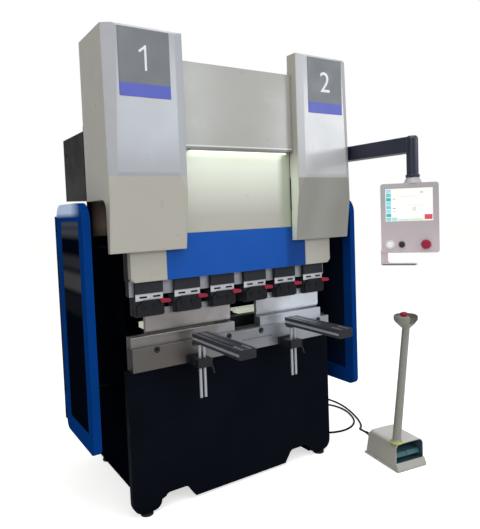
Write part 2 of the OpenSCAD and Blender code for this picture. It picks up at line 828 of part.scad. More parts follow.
// Cross-section of the slotted arm profile, centred on X with its top at zero.
module arm_section() {
    half = arm_w / 2;
    difference() {
        translate([-half, -arm_h]) square([arm_w, arm_h]);
        for (s = [-1, 1]) translate([s * arm_w / 4, 0]) {
            translate([-4, -6]) square([8, 7]);
            translate([-9, -13]) square([18, 8]);
            translate([-4, -arm_h - 1]) square([8, 7]);
            translate([-9, -arm_h + 5]) square([18, 8]);
            translate([s * arm_w / 4 - (s > 0 ? 6 : 1), -arm_h / 2 - 4]) square([7, 8]);
        }
        circle_hole = 5;
        translate([0, -arm_h / 2]) circle(r = circle_hole, $fn = 32);
    }
}

// Support arm: slotted profile, end cap, saddle and the two lift rods.
module support_arm(side) {
    rod_top = arm_top - arm_h - 12;
    color("#2a2c31") at_machine() translate([side * arm_x, 0, 0]) {
        translate([0, arm_y0, arm_top]) rotate([90, 0, 0]) linear_extrude(arm_len) arm_section();
        translate([0, arm_y0 - arm_len, arm_top - arm_h]) rotate([90, 0, 0])
            linear_extrude(6) polygon(round_rect(-arm_w / 2, 0, arm_w / 2, arm_h, 4));
        block([-38, rod_y - 30, rod_top], [38, arm_y0, arm_top - arm_h]);
        for (s = [-1, 1]) translate([s * rod_gap / 2, rod_y, rod_top - rod_len])
            cylinder(r = rod_d / 2, h = rod_len, $fn = 48);
    }
}

module support_arm_left() { support_arm(-1); }
module support_arm_right() { support_arm(1); }

// Thin clamp lever on the right of a guide block.
module arm_lever(side) {
    color("#3b3e44") at_machine() translate([side * arm_x + 40, rod_y - 4, block_z0 + 26]) {
        rotate([0, -90, 0]) translate([0, 0, -1]) cylinder(r = pin_r, h = 14, $fn = 40);
        translate([slide_clear, 0, 0]) rotate([0, 90, 0]) cylinder(r = 10, h = 14, $fn = 32);
        translate([8, 0, 0]) rotate([150, 0, 0]) translate([0, 0, 6]) cylinder(r1 = 4.5, r2 = 3.5, h = 66, $fn = 24);
    }
}

module arm_lever_left() { arm_lever(-1); }
module arm_lever_right() { arm_lever(1); }

// ---------- Pendant ----------

// Fork on the right column that carries the pendant beam's pivot.
module pendant_bracket() {
    lug = 12;
    color("#1d2433") at_machine() difference() {
        union() {
            block([column_out, pivot_y - 60, beam_z - 30], [column_out + 12, pivot_y + 60, beam_z + beam_h + 30]);
            for (z = [beam_z - lug - slide_clear, beam_z + beam_h + slide_clear])
                translate([0, 0, z]) linear_extrude(lug) polygon(concat(
                    [[column_out + 6, pivot_y + 40], [column_out + 6, pivot_y - 40]],
                    arc([pivot_x, pivot_y], 34, -90, 90, 10)));
        }
        translate([pivot_x, pivot_y, beam_z - 40]) cylinder(r = pivot_r + run_clear, h = beam_h + 80, $fn = 48);
    }
}

// Swinging beam with its pivot pin and the hanging tube.
module pendant_beam() {
    half = beam_w / 2;
    hollow = half - 4;
    color("#1f2638") at_machine() difference() {
        union() {
            translate([pivot_x, pivot_y, beam_z - 14]) cylinder(r = pivot_r, h = beam_h + 28, $fn = 48);
            translate([0, 0, beam_z]) linear_extrude(beam_h) polygon(concat(
                arc([pivot_x, pivot_y], half, 0, 180, 12), [[pivot_x - half, tube_y], [pivot_x + half, tube_y]]));
            translate([tube_x, tube_y, collar_top])
                cylinder(d = tube_d, h = beam_z + beam_h - collar_top - 6, $fn = 64);
            translate([tube_x, tube_y, beam_z + beam_h - 8])
                cylinder(d1 = tube_d, d2 = tube_d - 16, h = 14, $fn = 64);
        }
        block([pivot_x - hollow, tube_y + 4, beam_z + 4], [pivot_x + hollow, pivot_y - 30, beam_z + beam_h - 4]);
        translate([tube_x, tube_y, collar_top - 1])
            cylinder(d = tube_d - 10, h = beam_z + beam_h - 12 - collar_top, $fn = 64);
    }
}

// Local frame of the control box: under the tube, X across the panel, -Y out of its face.
module at_box() at_machine() translate([tube_x, tube_y, 0]) rotate([0, 0, box_turn]) children();

// Control box with its swivel collar, rounded shell, screen recess, button bores and shelf below.
module pendant_box() {
    z0 = box_top - box_h;
    x0 = box_shift - box_w / 2;
    x1 = box_shift + box_w / 2;
    shelf_z = z0 - 69;
    color("#a9a7a8") at_box() {
        difference() {
            union() {
                plate_xz(face_y, box_d) polygon(round_rect(x0, z0, x1, box_top, 14));
                translate([0, 0, box_top - 1])
                    cylinder(r1 = 50, r2 = tube_d / 2 + 2, h = collar_top - box_top + 0.5, $fn = 64);
            }
            block([x0 + 4, face_y + 9, z0 + 4], [x1 - 4, face_y + box_d - 4, box_top - 4]);
            translate([0, 0, box_top - 5]) cylinder(d = tube_d - 10, h = collar_top - box_top + 6, $fn = 64);
            // screen recess
            block([x0 + 26, face_y - 1, z0 + 175], [x1 - 30, face_y + 3, box_top - 28]);
            // button bores
            for (c = [[-106, 12], [-43, 8], [84, 11]])
                translate([box_shift + c[0], face_y - 1, z0 + control_z]) rotate([-90, 0, 0])
                    cylinder(r = c[1] + run_clear, h = 31, $fn = 48);
        }
        // folded shelf under the box, open to the right
        plate_xz(face_y + 6, 3) polygon(concat(
            [[x0 - 4, z0 + 14], [x0 - 4, shelf_z], [x0 + 190, shelf_z], [x0 + 182, shelf_z + 12]],
            arc([x0 + 48, shelf_z + 26], 14, 270, 180), [[x0 + 34, z0 + 14]]));
        block([x0 - 4, face_y + 6, shelf_z], [x0 + 190, face_y + 70, shelf_z + 3]);
    }
}

// A push button or knob in the panel: stem in its bore and a head of radius r.
module panel_control(x, stem_r, head_r, head_h) {
    at_box() translate([box_shift + x, face_y, box_top - box_h + control_z]) rotate([90, 0, 0]) {
        translate([0, 0, -24]) cylinder(r = stem_r, h = 24 + head_h, $fn = 48);
        translate([0, 0, head_h]) cylinder(r1 = head_r, r2 = head_r * 0.88, h = 10, $fn = 48);
    }
}

module start_button() { color("#eceeee") panel_control(-106, 12, 18, 8); }
module pendant_stop() { color("#a31f3c") panel_control(84, 11, 26, 14); }

// Rotary selector with a raised grip bar.
module selector_knob() {
    color("#2b2a30") {
        panel_control(-43, 8, 15, 4);
        at_box() translate([box_shift - 43, face_y, box_top - box_h + control_z])
            translate([-3.5, -26, -13]) cube([7, 13, 26]);
    }
}

// ---------- Side guards ----------

// Posts and brackets that carry the guards' hinges, on the side frames.
module guard_posts() {
    color("#16181d") at_machine() both_sides() difference() {
        union() {
            block([hinge_x - 34, hinge_y + 20, guard_z0 + 30], [hinge_x + 6, hinge_y + 50, guard_z0 + guard_h - 60]);
            for (z = [guard_z0 + 110, guard_z0 + guard_h - 240]) {
                block([frame_out, hinge_y + 20, z], [hinge_x - 34, hinge_y + 50, z + 60]);
                for (lift_z = [-52, 72]) translate([hinge_x, hinge_y, z + lift_z]) {
                    cylinder(r = hinge_r + 7, h = 40, $fn = 40);
                    block([-8, 0, 0], [6, 21, 40]);
                }
            }
        }
        for (z = [guard_z0 + 110, guard_z0 + guard_h - 240])
            translate([hinge_x, hinge_y, z - 60]) cylinder(r = hinge_r + run_clear, h = 180, $fn = 48);
    }
}

// Guard door: folded frame with a large rounded top, a clear pane and its hinge knuckles.
module guard(side) {
    x0 = guard_x - guard_t;
    y1 = guard_y1;
    z0 = guard_z0;
    z1 = guard_z0 + guard_h;
    r_low = 40;
    outline = concat(
        arc([y1 - guard_r, z1 - guard_r], guard_r, 0, 90), arc([guard_y0 + guard_r, z1 - guard_r], guard_r, 90, 180),
        arc([guard_y0 + r_low, z0 + r_low], r_low, 180, 270), arc([y1 - r_low, z0 + r_low], r_low, 270, 360));
    color("#1550a6") at_machine() on_side(side) {
        difference() {
            plate_yz(x0, guard_t) polygon(outline);
            plate_yz(x0 - 1, guard_t + 2)
                polygon(round_rect(guard_y0 + stile, z0 + rail_h, y1 - stile, z1 - rail_h, 12));
            // the stiles and rails are hollow sections
            for (y = [guard_y0 + sheet, y1 - stile + sheet])
                block([x0 + sheet, y, z0 + 60], [guard_x - sheet, y + stile - 2 * sheet, z1 - guard_r - 10]);
            for (z = [z0 + sheet, z1 - rail_h + sheet])
                block([x0 + sheet, guard_y0 + guard_r, z], [guard_x - sheet, y1 - guard_r, z + rail_h - 2 * sheet]);
        }
        // pane behind the outer skin
        block([guard_x - sheet - 6, guard_y0 + stile, z0 + rail_h], [guard_x - sheet - 2, y1 - stile, z1 - rail_h]);
        for (z = [z0 + 110, z1 - 240]) translate([hinge_x, hinge_y, z]) {
            translate([0, 0, -11.5]) cylinder(r = hinge_r + 7, h = 83, $fn = 40);
            translate([0, 0, -50]) cylinder(r = hinge_r, h = 160, $fn = 48);
            block([-8, -18, -11.5], [8, 0, 71.5]);
        }
    }
}

module guard_left() { guard(-1); }
module guard_right() { guard(1); }

// ---------- Cabinet ----------

// Electrical cabinet behind the left column, on the side frame.
module cabinet_body() {
    z1 = cab_z1;
    color("#1b1c20") at_machine() on_side(-1) {
        difference() {
            plate_yz(cab_x0, cab_x1 - door_t - cab_x0) polygon([
                [cab_y0, cab_z0], [cab_y1, cab_z0], [cab_y1, z1], [cab_y0, z1]]);
            block([cab_x0 + sheet, cab_y0 + sheet, cab_z0 + sheet],
                  [cab_x1, cab_y1 - sheet, z1 - sheet]);
        }
        block([frame_out, cab_y0 + 60, cab_z0 + 40], [cab_x0, cab_y1 - 60, cab_z0 + 100]);
        block([frame_out, cab_y0 + 60, z1 - 100], [cab_x0, cab_y1 - 60, z1 - 40]);
        // mounting plate with the two servo drives and the control
        block([cab_x0 + sheet, cab_y0 + 20, cab_z0 + 20], [cab_x0 + sheet + 4, cab_y1 - 20, z1 - 20]);
        for (i = [0:2]) block([cab_x0 + sheet + 4, cab_y0 + 40 + i * 108, cab_z0 + 60],
                              [cab_x0 + 110, cab_y0 + 130 + i * 108, z1 - 70]);
        for (z = [cab_z0 + 40, z1 - 90]) {
            translate([cab_x1 - 6, cab_y0 - 4, z]) cylinder(r = 6, h = 50, $fn = 32);
            block([cab_x1 - door_t - 24, cab_y0 - 4, z], [cab_x1 - 6, cab_y0, z + 50]);
        }
    }
}

// Cabinet door, hinged at its front edge, with a quarter-turn lock.
module cabinet_door() {
    color("#1f2024") at_machine() on_side(-1) {
        difference() {
            block([cab_x1 - door_t + slide_clear, cab_y0 + 2.5, cab_z0], [cab_x1, cab_y1, cab_z1]);
            block([cab_x1 - door_t - 1, cab_y0 + 8, cab_z0 + 6], [cab_x1 - sheet, cab_y1 - 6, cab_z1 - 6]);
        }
        translate([cab_x1, cab_y1 - 46, cab_z1 - 90]) rotate([0, 90, 0]) cylinder(r = 12, h = 4, $fn = 32);
    }
}

// ---------- Foot pedal ----------

// Local frame of the pedal: front left corner at the floor, turned a little to the operator.
module at_pedal() at_machine() translate([pedal_x, pedal_y, 0]) rotate([0, 0, pedal_turn]) children();

// Front outline of the hood, w wide and h high, with round shoulders.
function hood(x0, w, z0, h, r) = concat(
    [[x0, z0], [x0 + w, z0]], arc([x0 + w - r, h - r], r, 0, 90), arc([x0 + r, h - r], r, 90, 180));

// Cast housing: sole with a front lip, open hood with a leaning back, and the post with the stop's cup.
module pedal_housing() {
    lip = 46;
    r = 34;
    back = pedal_l - 10;
    color("#b4b0a5") at_pedal() {
        difference() {
            union() {
                intersection() {
                    plate_xz(22, back - 22) polygon(hood(5, pedal_w - 10, 0, pedal_h, r));
                    plate_yz(0, pedal_w) polygon([[22, 0], [back, 0], [back - 36, pedal_h], [22, pedal_h]]);
                }
                block([0, 8, 0], [pedal_w, pedal_l, 10]);
                plate_yz(2, pedal_w - 4) polygon([[0, 0], [26, 0], [26, lip], [14, lip], [0, 14]]);
            }
            intersection() {
                plate_xz(21, back - 21) polygon(hood(5 + wall, pedal_w - 10 - 2 * wall, lip - 10, pedal_h - wall, r - wall));
                plate_yz(0, pedal_w) polygon([[20, 0], [back - wall, 0], [back - 36 - wall, pedal_h], [20, pedal_h]]);
            }
        }
        // pivot rod of the treadles
        translate([5, treadle_y, treadle_z]) rotate([0, 90, 0]) cylinder(r = 5, h = pedal_w - 10, $fn = 32);
        // leaning post with a round foot on the hood
        translate([post_x, post_y, pedal_h - 6]) {
            cylinder(r1 = 33, r2 = 29, h = 16, $fn = 64);
            rotate([0, post_lean, 0]) difference() {
                cylinder(r1 = post_r + 3, r2 = post_r, h = post_top - pedal_h + 14, $fn = 64);
                translate([0, 0, 20]) cylinder(r = post_r - 4, h = post_top - pedal_h - 20, $fn = 64);
            }
        }
        // cup round the stop, cut away towards the operator
        translate([head_x, post_y, post_top]) {
            difference() {
                rotate_extrude($fn = 64) polygon([
                    [0, 0], [25, 0], [34, 8], [60, 33], [68, 46], [70, 62], [68, 72], [62, 76],
                    [64, 62], [61, 47], [54, 37], [28, 14], [0, 14]]);
                block([-24, -90, 30], [52, -20, 80]);
            }
            translate([stop_x - head_x, 0, 12]) difference() {
                cylinder(r = 27, h = 56, $fn = 48);
                translate([0, 0, 14]) cylinder(r = 11 + run_clear, h = 44, $fn = 48);
            }
        }
        // gland of the cable
        translate([30, back - 26, 118]) rotate([-90, 0, 0]) cylinder(r = 13, h = 22, $fn = 32);
    }
}

// One of the two treadles, turning on the rod at the back of the housing.
module treadle(i) {
    inside = pedal_w - 10 - 2 * wall;
    w = inside / 2 - 5;
    x0 = 5 + wall + 3 + i * (w + 4);
    color("#1f3d45") at_pedal() difference() {
        plate_yz(x0, w) polygon(concat(
            [[46, 66], [52, 60], [238, 66]], arc([treadle_y, treadle_z], 13, 230, 440, 10), [[60, 88], [46, 74]]));
        translate([x0 - 1, treadle_y, treadle_z]) rotate([0, 90, 0])
            cylinder(r = 5 + run_clear, h = w + 2, $fn = 48);
    }
}

module treadle_left() { treadle(0); }
module treadle_right() { treadle(1); }

// Mushroom of the stop on the post.
module pedal_stop() {
    color("#b02436") at_pedal() translate([stop_x, post_y, post_top]) {
        translate([0, 0, 36]) cylinder(r = 11, h = 44, $fn = 48);
        translate([0, 0, 76]) cylinder(r1 = 25, r2 = 23, h = 12, $fn = 48);
        translate([0, 0, 88]) cylinder(r1 = 23, r2 = 12, h = 6, $fn = 48);
    }
}

// Gland of the cable on the side frame.
gland_y = 300;
gland_z = 80;
module cable_gland() {
    color("#26272b") at_machine() translate([frame_out, gland_y, gland_z]) rotate([0, 90, 0]) {
        cylinder(r = 16, h = 10, $fn = 6);
        translate([0, 0, 10]) cylinder(r1 = 13, r2 = 9, h = 14, $fn = 32);
    }
}

// Route of the pedal's cable, from its gland down to the floor, round one loop behind the base.
cable_z = cable_d / 2;
cable_route = [
    [842.8, -142.4, 118], [847.5, -111, 117], [859, -78, 111], [884, -40, 98], [925, 18, 74], [975, 72, 48],
    [1030, 120, 25], [1085, 170, 10], [1130, 230, cable_z], [1172, 305, cable_z], [1218, 412, cable_z],
    [1252, 520, cable_z], [1266, 620, cable_z], [1258, 712, cable_z], [1222, 790, cable_z],
    [1160, 828, cable_z], [1098, 805, cable_z], [1082, 745, cable_z], [1118, 690, cable_z],
    [1172, 636, cable_z], [1204, 555, cable_z], [1202, 454, cable_z], [1166, 352, cable_z],
    [1108, 262, cable_z], [1028, 206, cable_z], [938, 189, cable_z], [858, 208, cable_z],
    [795, 246, 11], [745, 276, 32], [700, 293, 60], [660, 299, 77], [628, 300, 80], [601.2, 300, 80]];

// Smooth curve through the route's points.
function spline(p0, p1, p2, p3, t) = 0.5 * (2 * p1 + (p2 - p0) * t
    + (2 * p0 - 5 * p1 + 4 * p2 - p3) * t * t + (3 * p1 - p0 - 3 * p2 + p3) * t * t * t);
function smooth(pts, n) = let(last = len(pts) - 1) concat(
    [for (i = [0:last - 1]) for (k = [0:n - 1])
        spline(pts[max(i - 1, 0)], pts[i], pts[i + 1], pts[min(i + 2, last)], k / n)],
    [pts[last]]);

// Tube of radius r along a path, as one closed polyhedron.
module tube(path, r, sides) {
    n = len(path);
    function unit(v) = v / norm(v);
    tangents = [for (i = [0:n - 1]) unit(path[min(i + 1, n - 1)] - path[max(i - 1, 0)])];
    rings = [for (i = [0:n - 1]) let(side = unit(cross([0, 0, 1], tangents[i])), up = cross(tangents[i], side))
        for (k = [0:sides - 1]) let(a = 360 * k / sides) path[i] + r * (cos(a) * side + sin(a) * up)];
    walls = [for (i = [0:n - 2]) for (k = [0:sides - 1]) let(j = (k + 1) % sides)
        [i * sides + k, (i + 1) * sides + k, (i + 1) * sides + j, i * sides + j]];
    polyhedron(rings, concat(walls, [[for (k = [0:sides - 1]) k]],
        [[for (k = [sides - 1:-1:0]) (n - 1) * sides + k]]), convexity = 8);
}

module pedal_cable() { color("#17181b") at_machine() tube(smooth(cable_route, 3), cable_z, 10); }

side_frames();
base_front();
cross_ties();
levelling_feet();
bed_plate();
bed_screws();
die_key();
dies();
column_cover_left();
column_cover_right();
centre_cover();
work_lamp();
drive_mounts();
servo_motors();
drive_belts();
ram_guide_rails();
guard_posts();
cabinet_body();
cabinet_door();
gauge_rails();
arm_brackets();
ram_plate();
ram_panel_centre();
ram_panel_ends();
ram_panel_upper();
ram_carriages();
clamp_bodies();
clamp_plates();
punches();
ball_screw_left();
ball_screw_right();
motor_pulley_left();
motor_pulley_right();
clamp_lever_1();
clamp_lever_2();
clamp_lever_3();
clamp_lever_4();
clamp_lever_5();
clamp_lever_6();
gauge_beam();
gauge_finger_left();
gauge_finger_right();
support_arm_left();
support_arm_right();
arm_lever_left();
arm_lever_right();
pendant_bracket();
pendant_beam();
pendant_box();
start_button();
selector_knob();
pendant_stop();
guard_left();
guard_right();
pedal_housing();
treadle_left();
treadle_right();
pedal_stop();
cable_gland();
pedal_cable();
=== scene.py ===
import math
import bmesh
import bpy
from mathutils import Matrix, Vector


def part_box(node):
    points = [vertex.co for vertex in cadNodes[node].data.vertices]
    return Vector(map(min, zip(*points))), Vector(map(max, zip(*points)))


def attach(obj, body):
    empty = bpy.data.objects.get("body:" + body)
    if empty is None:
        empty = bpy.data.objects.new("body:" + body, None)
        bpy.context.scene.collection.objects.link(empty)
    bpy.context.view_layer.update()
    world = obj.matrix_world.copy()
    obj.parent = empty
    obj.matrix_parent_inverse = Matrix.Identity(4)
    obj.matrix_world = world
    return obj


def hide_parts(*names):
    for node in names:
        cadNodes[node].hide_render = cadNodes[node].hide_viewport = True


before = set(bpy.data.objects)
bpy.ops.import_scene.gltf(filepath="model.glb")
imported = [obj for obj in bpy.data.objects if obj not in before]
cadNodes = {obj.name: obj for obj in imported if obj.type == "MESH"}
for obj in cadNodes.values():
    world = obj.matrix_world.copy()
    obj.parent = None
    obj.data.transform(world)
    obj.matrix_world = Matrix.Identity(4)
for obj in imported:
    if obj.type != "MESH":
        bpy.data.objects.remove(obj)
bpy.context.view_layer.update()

unit = 0.001  # millimetres to metres
machineShift = Vector((-0.077, -0.107, 0.0))  # from the machine's own zero to the frame's
machineFrame = Matrix.Translation(machineShift)


def mm(*numbers):
    return tuple(n * unit for n in numbers)


def at(x, y, z):  # a place on the machine in millimetres, as a point of the frame in metres
    return Vector((x, y, z)) * unit + machineShift


# camera, at eye height to the front left of the machine

cameraSetup = {
    "place": (-1.660, -2.597, 1.561),
    "yaw": 32.693, "pitch": -3.260, "roll": -2.107,
    "lens": 35.94, "sensor": 36, "shift": (-0.0014, -0.0432), "farthest": 80,
}


def makeCamera(s):
    bpy.ops.object.camera_add(location=s["place"])
    cam = bpy.context.object
    turn = (Matrix.Rotation(-math.radians(s["yaw"]), 4, "Z")
            @ Matrix.Rotation(math.radians(90 + s["pitch"]), 4, "X")
            @ Matrix.Rotation(math.radians(s["roll"]), 4, "Z"))
    cam.rotation_euler = turn.to_euler()
    cam.data.sensor_width = s["sensor"]
    cam.data.lens = s["lens"]
    cam.data.shift_x, cam.data.shift_y = s["shift"]
    cam.data.clip_end = s["farthest"]
    cam.name = "camera"
    bpy.context.scene.camera = cam


makeCamera(cameraSetup)
print("camera set")


# node helpers


def fromHex(text):  # a screen colour as the linear colour that a shader takes
    parts = [int(text[i:i + 2], 16) / 255 for i in (0, 2, 4)]
    return tuple(c / 12.92 if c <= 0.04045 else ((c + 0.055) / 1.055) ** 2.4 for c in parts) + (1.0,)


def newFinish(name):
    mat = bpy.data.materials.new(name)
    mat.use_nodes = True
    tree = mat.node_tree
    tree.nodes.clear()
    out = tree.nodes.new("ShaderNodeOutputMaterial")
    shader = tree.nodes.new("ShaderNodeBsdfPrincipled")
    tree.links.new(shader.outputs["BSDF"], out.inputs["Surface"])
    spot = tree.nodes.new("ShaderNodeTexCoord").outputs["Object"]
    return mat, tree, shader, spot


def stretched(tree, spot, scale):
    mapping = tree.nodes.new("ShaderNodeMapping")
    mapping.inputs["Scale"].default_value = scale
    tree.links.new(spot, mapping.inputs["Vector"])
    return mapping.outputs["Vector"]


def noise(tree, spot, scale, detail=3.0, rough=0.5):
    node = tree.nodes.new("ShaderNodeTexNoise")
    node.inputs["Scale"].default_value = scale
    node.inputs["Detail"].default_value = detail
    node.inputs["Roughness"].default_value = rough
    tree.links.new(spot, node.inputs["Vector"])
    return node.outputs["Fac"]


def spread(tree, value, low, high, toLow=0.0, toHigh=1.0):
    node = tree.nodes.new("ShaderNodeMapRange")
    node.clamp = True
    tree.links.new(value, node.inputs["Value"])
    for key, number in (("From Min", low), ("From Max", high), ("To Min", toLow), ("To Max", toHigh)):
        node.inputs[key].default_value = number
    return node.outputs["Result"]


def calc(tree, kind, a, b=None):
    node = tree.nodes.new("ShaderNodeMath")
    node.operation = kind
    for i, v in enumerate((a, b)):
        if isinstance(v, (int, float)):
            node.inputs[i].default_value = v
        elif v is not None:
            tree.links.new(v, node.inputs[i])
    return node.outputs["Value"]


def both(tree, mask, *others):  # the product of masks, so 1 only where each of them is 1
    for other in others:
        mask = calc(tree, "MULTIPLY", mask, other)
    return mask


def mixed(tree, part, a, b):  # a and b are hex colours or colour sockets
    node = tree.nodes.new("ShaderNodeMix")
    node.data_type = "RGBA"
    tree.links.new(part, node.inputs["Factor"])
    for key, v in (("A", a), ("B", b)):
        socket = [i for i in node.inputs if i.name == key and i.type == "RGBA"][0]
        if isinstance(v, str):
            socket.default_value = fromHex(v)
        else:
            tree.links.new(v, socket)
    return [o for o in node.outputs if o.type == "RGBA"][0]


def shaderOf(tree):
    return [n for n in tree.nodes if n.type == "BSDF_PRINCIPLED"][0]


def axes(tree, spot):
    node = tree.nodes.new("ShaderNodeSeparateXYZ")
    tree.links.new(spot, node.inputs["Vector"])
    return node.outputs["X"], node.outputs["Y"], node.outputs["Z"]


def between(tree, value, low, high, soft=0.0005):  # 1 inside the band, 0 outside
    up = spread(tree, value, low - soft, low + soft)
    down = spread(tree, value, high - soft, high + soft, 1.0, 0.0)
    return both(tree, up, down)


def roundedNormal(tree, radius):  # a small round on every sharp edge
    node = tree.nodes.new("ShaderNodeBevel")
    node.samples = 4
    node.inputs["Radius"].default_value = radius
    return node.outputs["Normal"]


def faceNormal(tree):  # the flat normal in the piece's own space, so that it holds when the body turns
    turn = tree.nodes.new("ShaderNodeVectorTransform")
    turn.vector_type, turn.convert_from, turn.convert_to = "NORMAL", "WORLD", "OBJECT"
    tree.links.new(tree.nodes.new("ShaderNodeNewGeometry").outputs["True Normal"], turn.inputs["Vector"])
    return turn.outputs["Vector"]


def looking(tree, axis, *limits):  # from 0 to 1 as the face turns along an axis
    return spread(tree, axes(tree, faceNormal(tree))["XYZ".index(axis)], *limits)


edgeTurn = (0.995, 0.90)  # how far the rounded normal leaves the face, from no wear to full wear


def edgePart(tree, normal):  # 1 on the edges, 0 on the flats
    dot = tree.nodes.new("ShaderNodeVectorMath")
    dot.operation = "DOT_PRODUCT"
    tree.links.new(normal, dot.inputs[0])
    tree.links.new(tree.nodes.new("ShaderNodeNewGeometry").outputs["Normal"], dot.inputs[1])
    return spread(tree, dot.outputs["Value"], *edgeTurn)


def bumped(tree, shader, height, strength, distance, normal):
    node = tree.nodes.new("ShaderNodeBump")
    node.inputs["Strength"].default_value = strength
    node.inputs["Distance"].default_value = distance
    tree.links.new(height, node.inputs["Height"])
    tree.links.new(normal, node.inputs["Normal"])
    tree.links.new(node.outputs["Normal"], shader.inputs["Normal"])


# the three kinds of finish; a piece's own dictionary goes over the plain one

paintPlain = {"edge": 0.003, "cloud": 3.0, "dust": 0.15, "dustNoise": (140, 4, 0.7),
              "wear": 0.4, "leastWear": 0.1, "wearNoise": (30, 5, 0.6),
              "rough": 0.42, "roughSpan": (-0.07, 0.09), "roughNoise": (9, 5),
              "specular": 0.4, "metallic": 0.0, "coat": 0.0, "coatRough": 0.16,
              "peel": 0.12, "peelScale": 300, "peelDepth": 0.0006}
steelPlain = {"edge": 0.0015, "lineNoise": (60, 5, 0.65), "stain": 0.4, "stainNoise": (7, 5, 0.6),
              "wander": 0.12, "wear": 0.6, "rough": 0.34, "roughSpan": (-0.08, 0.1), "metallic": 0.85,
              "bump": 0.12, "bumpDepth": 0.0004}
plasticPlain = {"edge": 0.001, "grainScale": 700, "cloudNoise": (22, 4), "wear": 0.3,
                "rough": 0.45, "roughSpan": (-0.05, 0.08), "specular": 0.4,
                "bump": 0.1, "bumpDepth": 0.0003}
wholeNoise = (0.3, 0.7)  # a noise counts as 0 below the first value and as 1 above the second
middleNoise = (0.35, 0.65)
stainPeaks = (0.5, 0.72)
wearPeaks = (0.4, 0.62)
dustPeaks = (0.55, 0.8)


def roughened(tree, shader, value, s):  # the roughness wanders about its own value
    least, most = [s["rough"] + step for step in s["roughSpan"]]
    tree.links.new(spread(tree, value, *wholeNoise, least, most), shader.inputs["Roughness"])


def painted(name, own, areas=None):
    s = dict(paintPlain, **own)
    mat, tree, shader, spot = newFinish(name)
    soft = roundedNormal(tree, s["edge"])
    cloud = spread(tree, noise(tree, spot, s["cloud"], detail=4), *middleNoise)
    colour = mixed(tree, cloud, s["colour"], s["shade"])
    if areas:
        colour = areas(tree, spot, colour)
    dust = spread(tree, noise(tree, spot, *s["dustNoise"]), *dustPeaks, 0.0, s["dust"])
    colour = mixed(tree, dust, colour, s["worn"])
    patchy = spread(tree, noise(tree, spot, *s["wearNoise"]), *wearPeaks, s["leastWear"], s["wear"])
    colour = mixed(tree, both(tree, edgePart(tree, soft), patchy), colour, s["worn"])
    tree.links.new(colour, shader.inputs["Base Color"])
    roughened(tree, shader, noise(tree, spot, *s["roughNoise"]), s)
    shader.inputs["Specular IOR Level"].default_value = s["specular"]
    shader.inputs["Metallic"].default_value = s["metallic"]
    shader.inputs["Coat Weight"].default_value = s["coat"]
    shader.inputs["Coat Roughness"].default_value = s["coatRough"]
    bumped(tree, shader, noise(tree, spot, s["peelScale"], detail=2), s["peel"], s["peelDepth"], soft)
    return mat


def steel(name, own, areas=None):  # ground or drawn metal, with its lines along one axis
    s = dict(steelPlain, **own)
    mat, tree, shader, spot = newFinish(name)
    soft = roundedNormal(tree, s["edge"])
    lines = noise(tree, stretched(tree, spot, s["lines"]), *s["lineNoise"])
    stain = noise(tree, spot, *s["stainNoise"])
    colour = mixed(tree, spread(tree, lines, *wholeNoise), s["colour"], s["shade"])
    colour = mixed(tree, spread(tree, stain, *stainPeaks, 0.0, s["stain"]), colour, s["dull"])
    if "bright" in s:  # the right-hand end is brighter: a painted reflection
        x = axes(tree, spot)[0]
        ragged = calc(tree, "ADD", x, spread(tree, stain, *wholeNoise, -s["wander"], s["wander"]))
        colour = mixed(tree, spread(tree, ragged, s["from"], s["to"]), colour, s["bright"])
    if areas:
        colour = areas(tree, spot, colour)
    colour = mixed(tree, both(tree, edgePart(tree, soft), s["wear"]), colour, s["edgeColour"])
    tree.links.new(colour, shader.inputs["Base Color"])
    roughened(tree, shader, lines, s)
    shader.inputs["Metallic"].default_value = s["metallic"]
    bumped(tree, shader, lines, s["bump"], s["bumpDepth"], soft)
    return mat


def moulded(name, own):  # plastic or rubber
    s = dict(plasticPlain, **own)
    mat, tree, shader, spot = newFinish(name)
    soft = roundedNormal(tree, s["edge"])
    grain = noise(tree, spot, s["grainScale"], detail=3, rough=0.6)
    cloud = noise(tree, spot, *s["cloudNoise"])
    colour = mixed(tree, spread(tree, cloud, *middleNoise), s["colour"], s["shade"])
    worn = both(tree, edgePart(tree, soft), s["wear"])
    colour = mixed(tree, worn, colour, s.get("worn", s["colour"]))
    tree.links.new(colour, shader.inputs["Base Color"])
    roughened(tree, shader, cloud, s)
    shader.inputs["Specular IOR Level"].default_value = s["specular"]
    if "glow" in s:
        shader.inputs["Emission Color"].default_value = fromHex(s.get("glowColour", s["colour"]))
        shader.inputs["Emission Strength"].default_value = s["glow"]
    bumped(tree, shader, grain, s["bump"], s["bumpDepth"], soft)
    return mat


def dress(mat, *names):  # gives CAD nodes their finish
    for name in names:
        mesh = cadNodes[name].data
        mesh.materials.clear()
        mesh.materials.append(mat)


# modelling helpers


def startFresh():
    if bpy.context.object and bpy.context.object.mode != "OBJECT":
        bpy.ops.object.mode_set(mode="OBJECT")
    bpy.ops.object.select_all(action="DESELECT")


def addBlock(low, high, edge, steps):  # a block between two corners, left in edit mode
    startFresh()
    low, high = Vector(low), Vector(high)
    bpy.ops.mesh.primitive_cube_add(size=1, location=(low + high) / 2)
    piece = bpy.context.object
    piece.scale = high - low
    bpy.ops.object.transform_apply(location=True, rotation=True, scale=True)
    bpy.ops.object.mode_set(mode="EDIT")
    bpy.ops.mesh.select_all(action="SELECT")
    bpy.ops.mesh.bevel(offset=edge, segments=steps, affect="EDGES")
    return piece


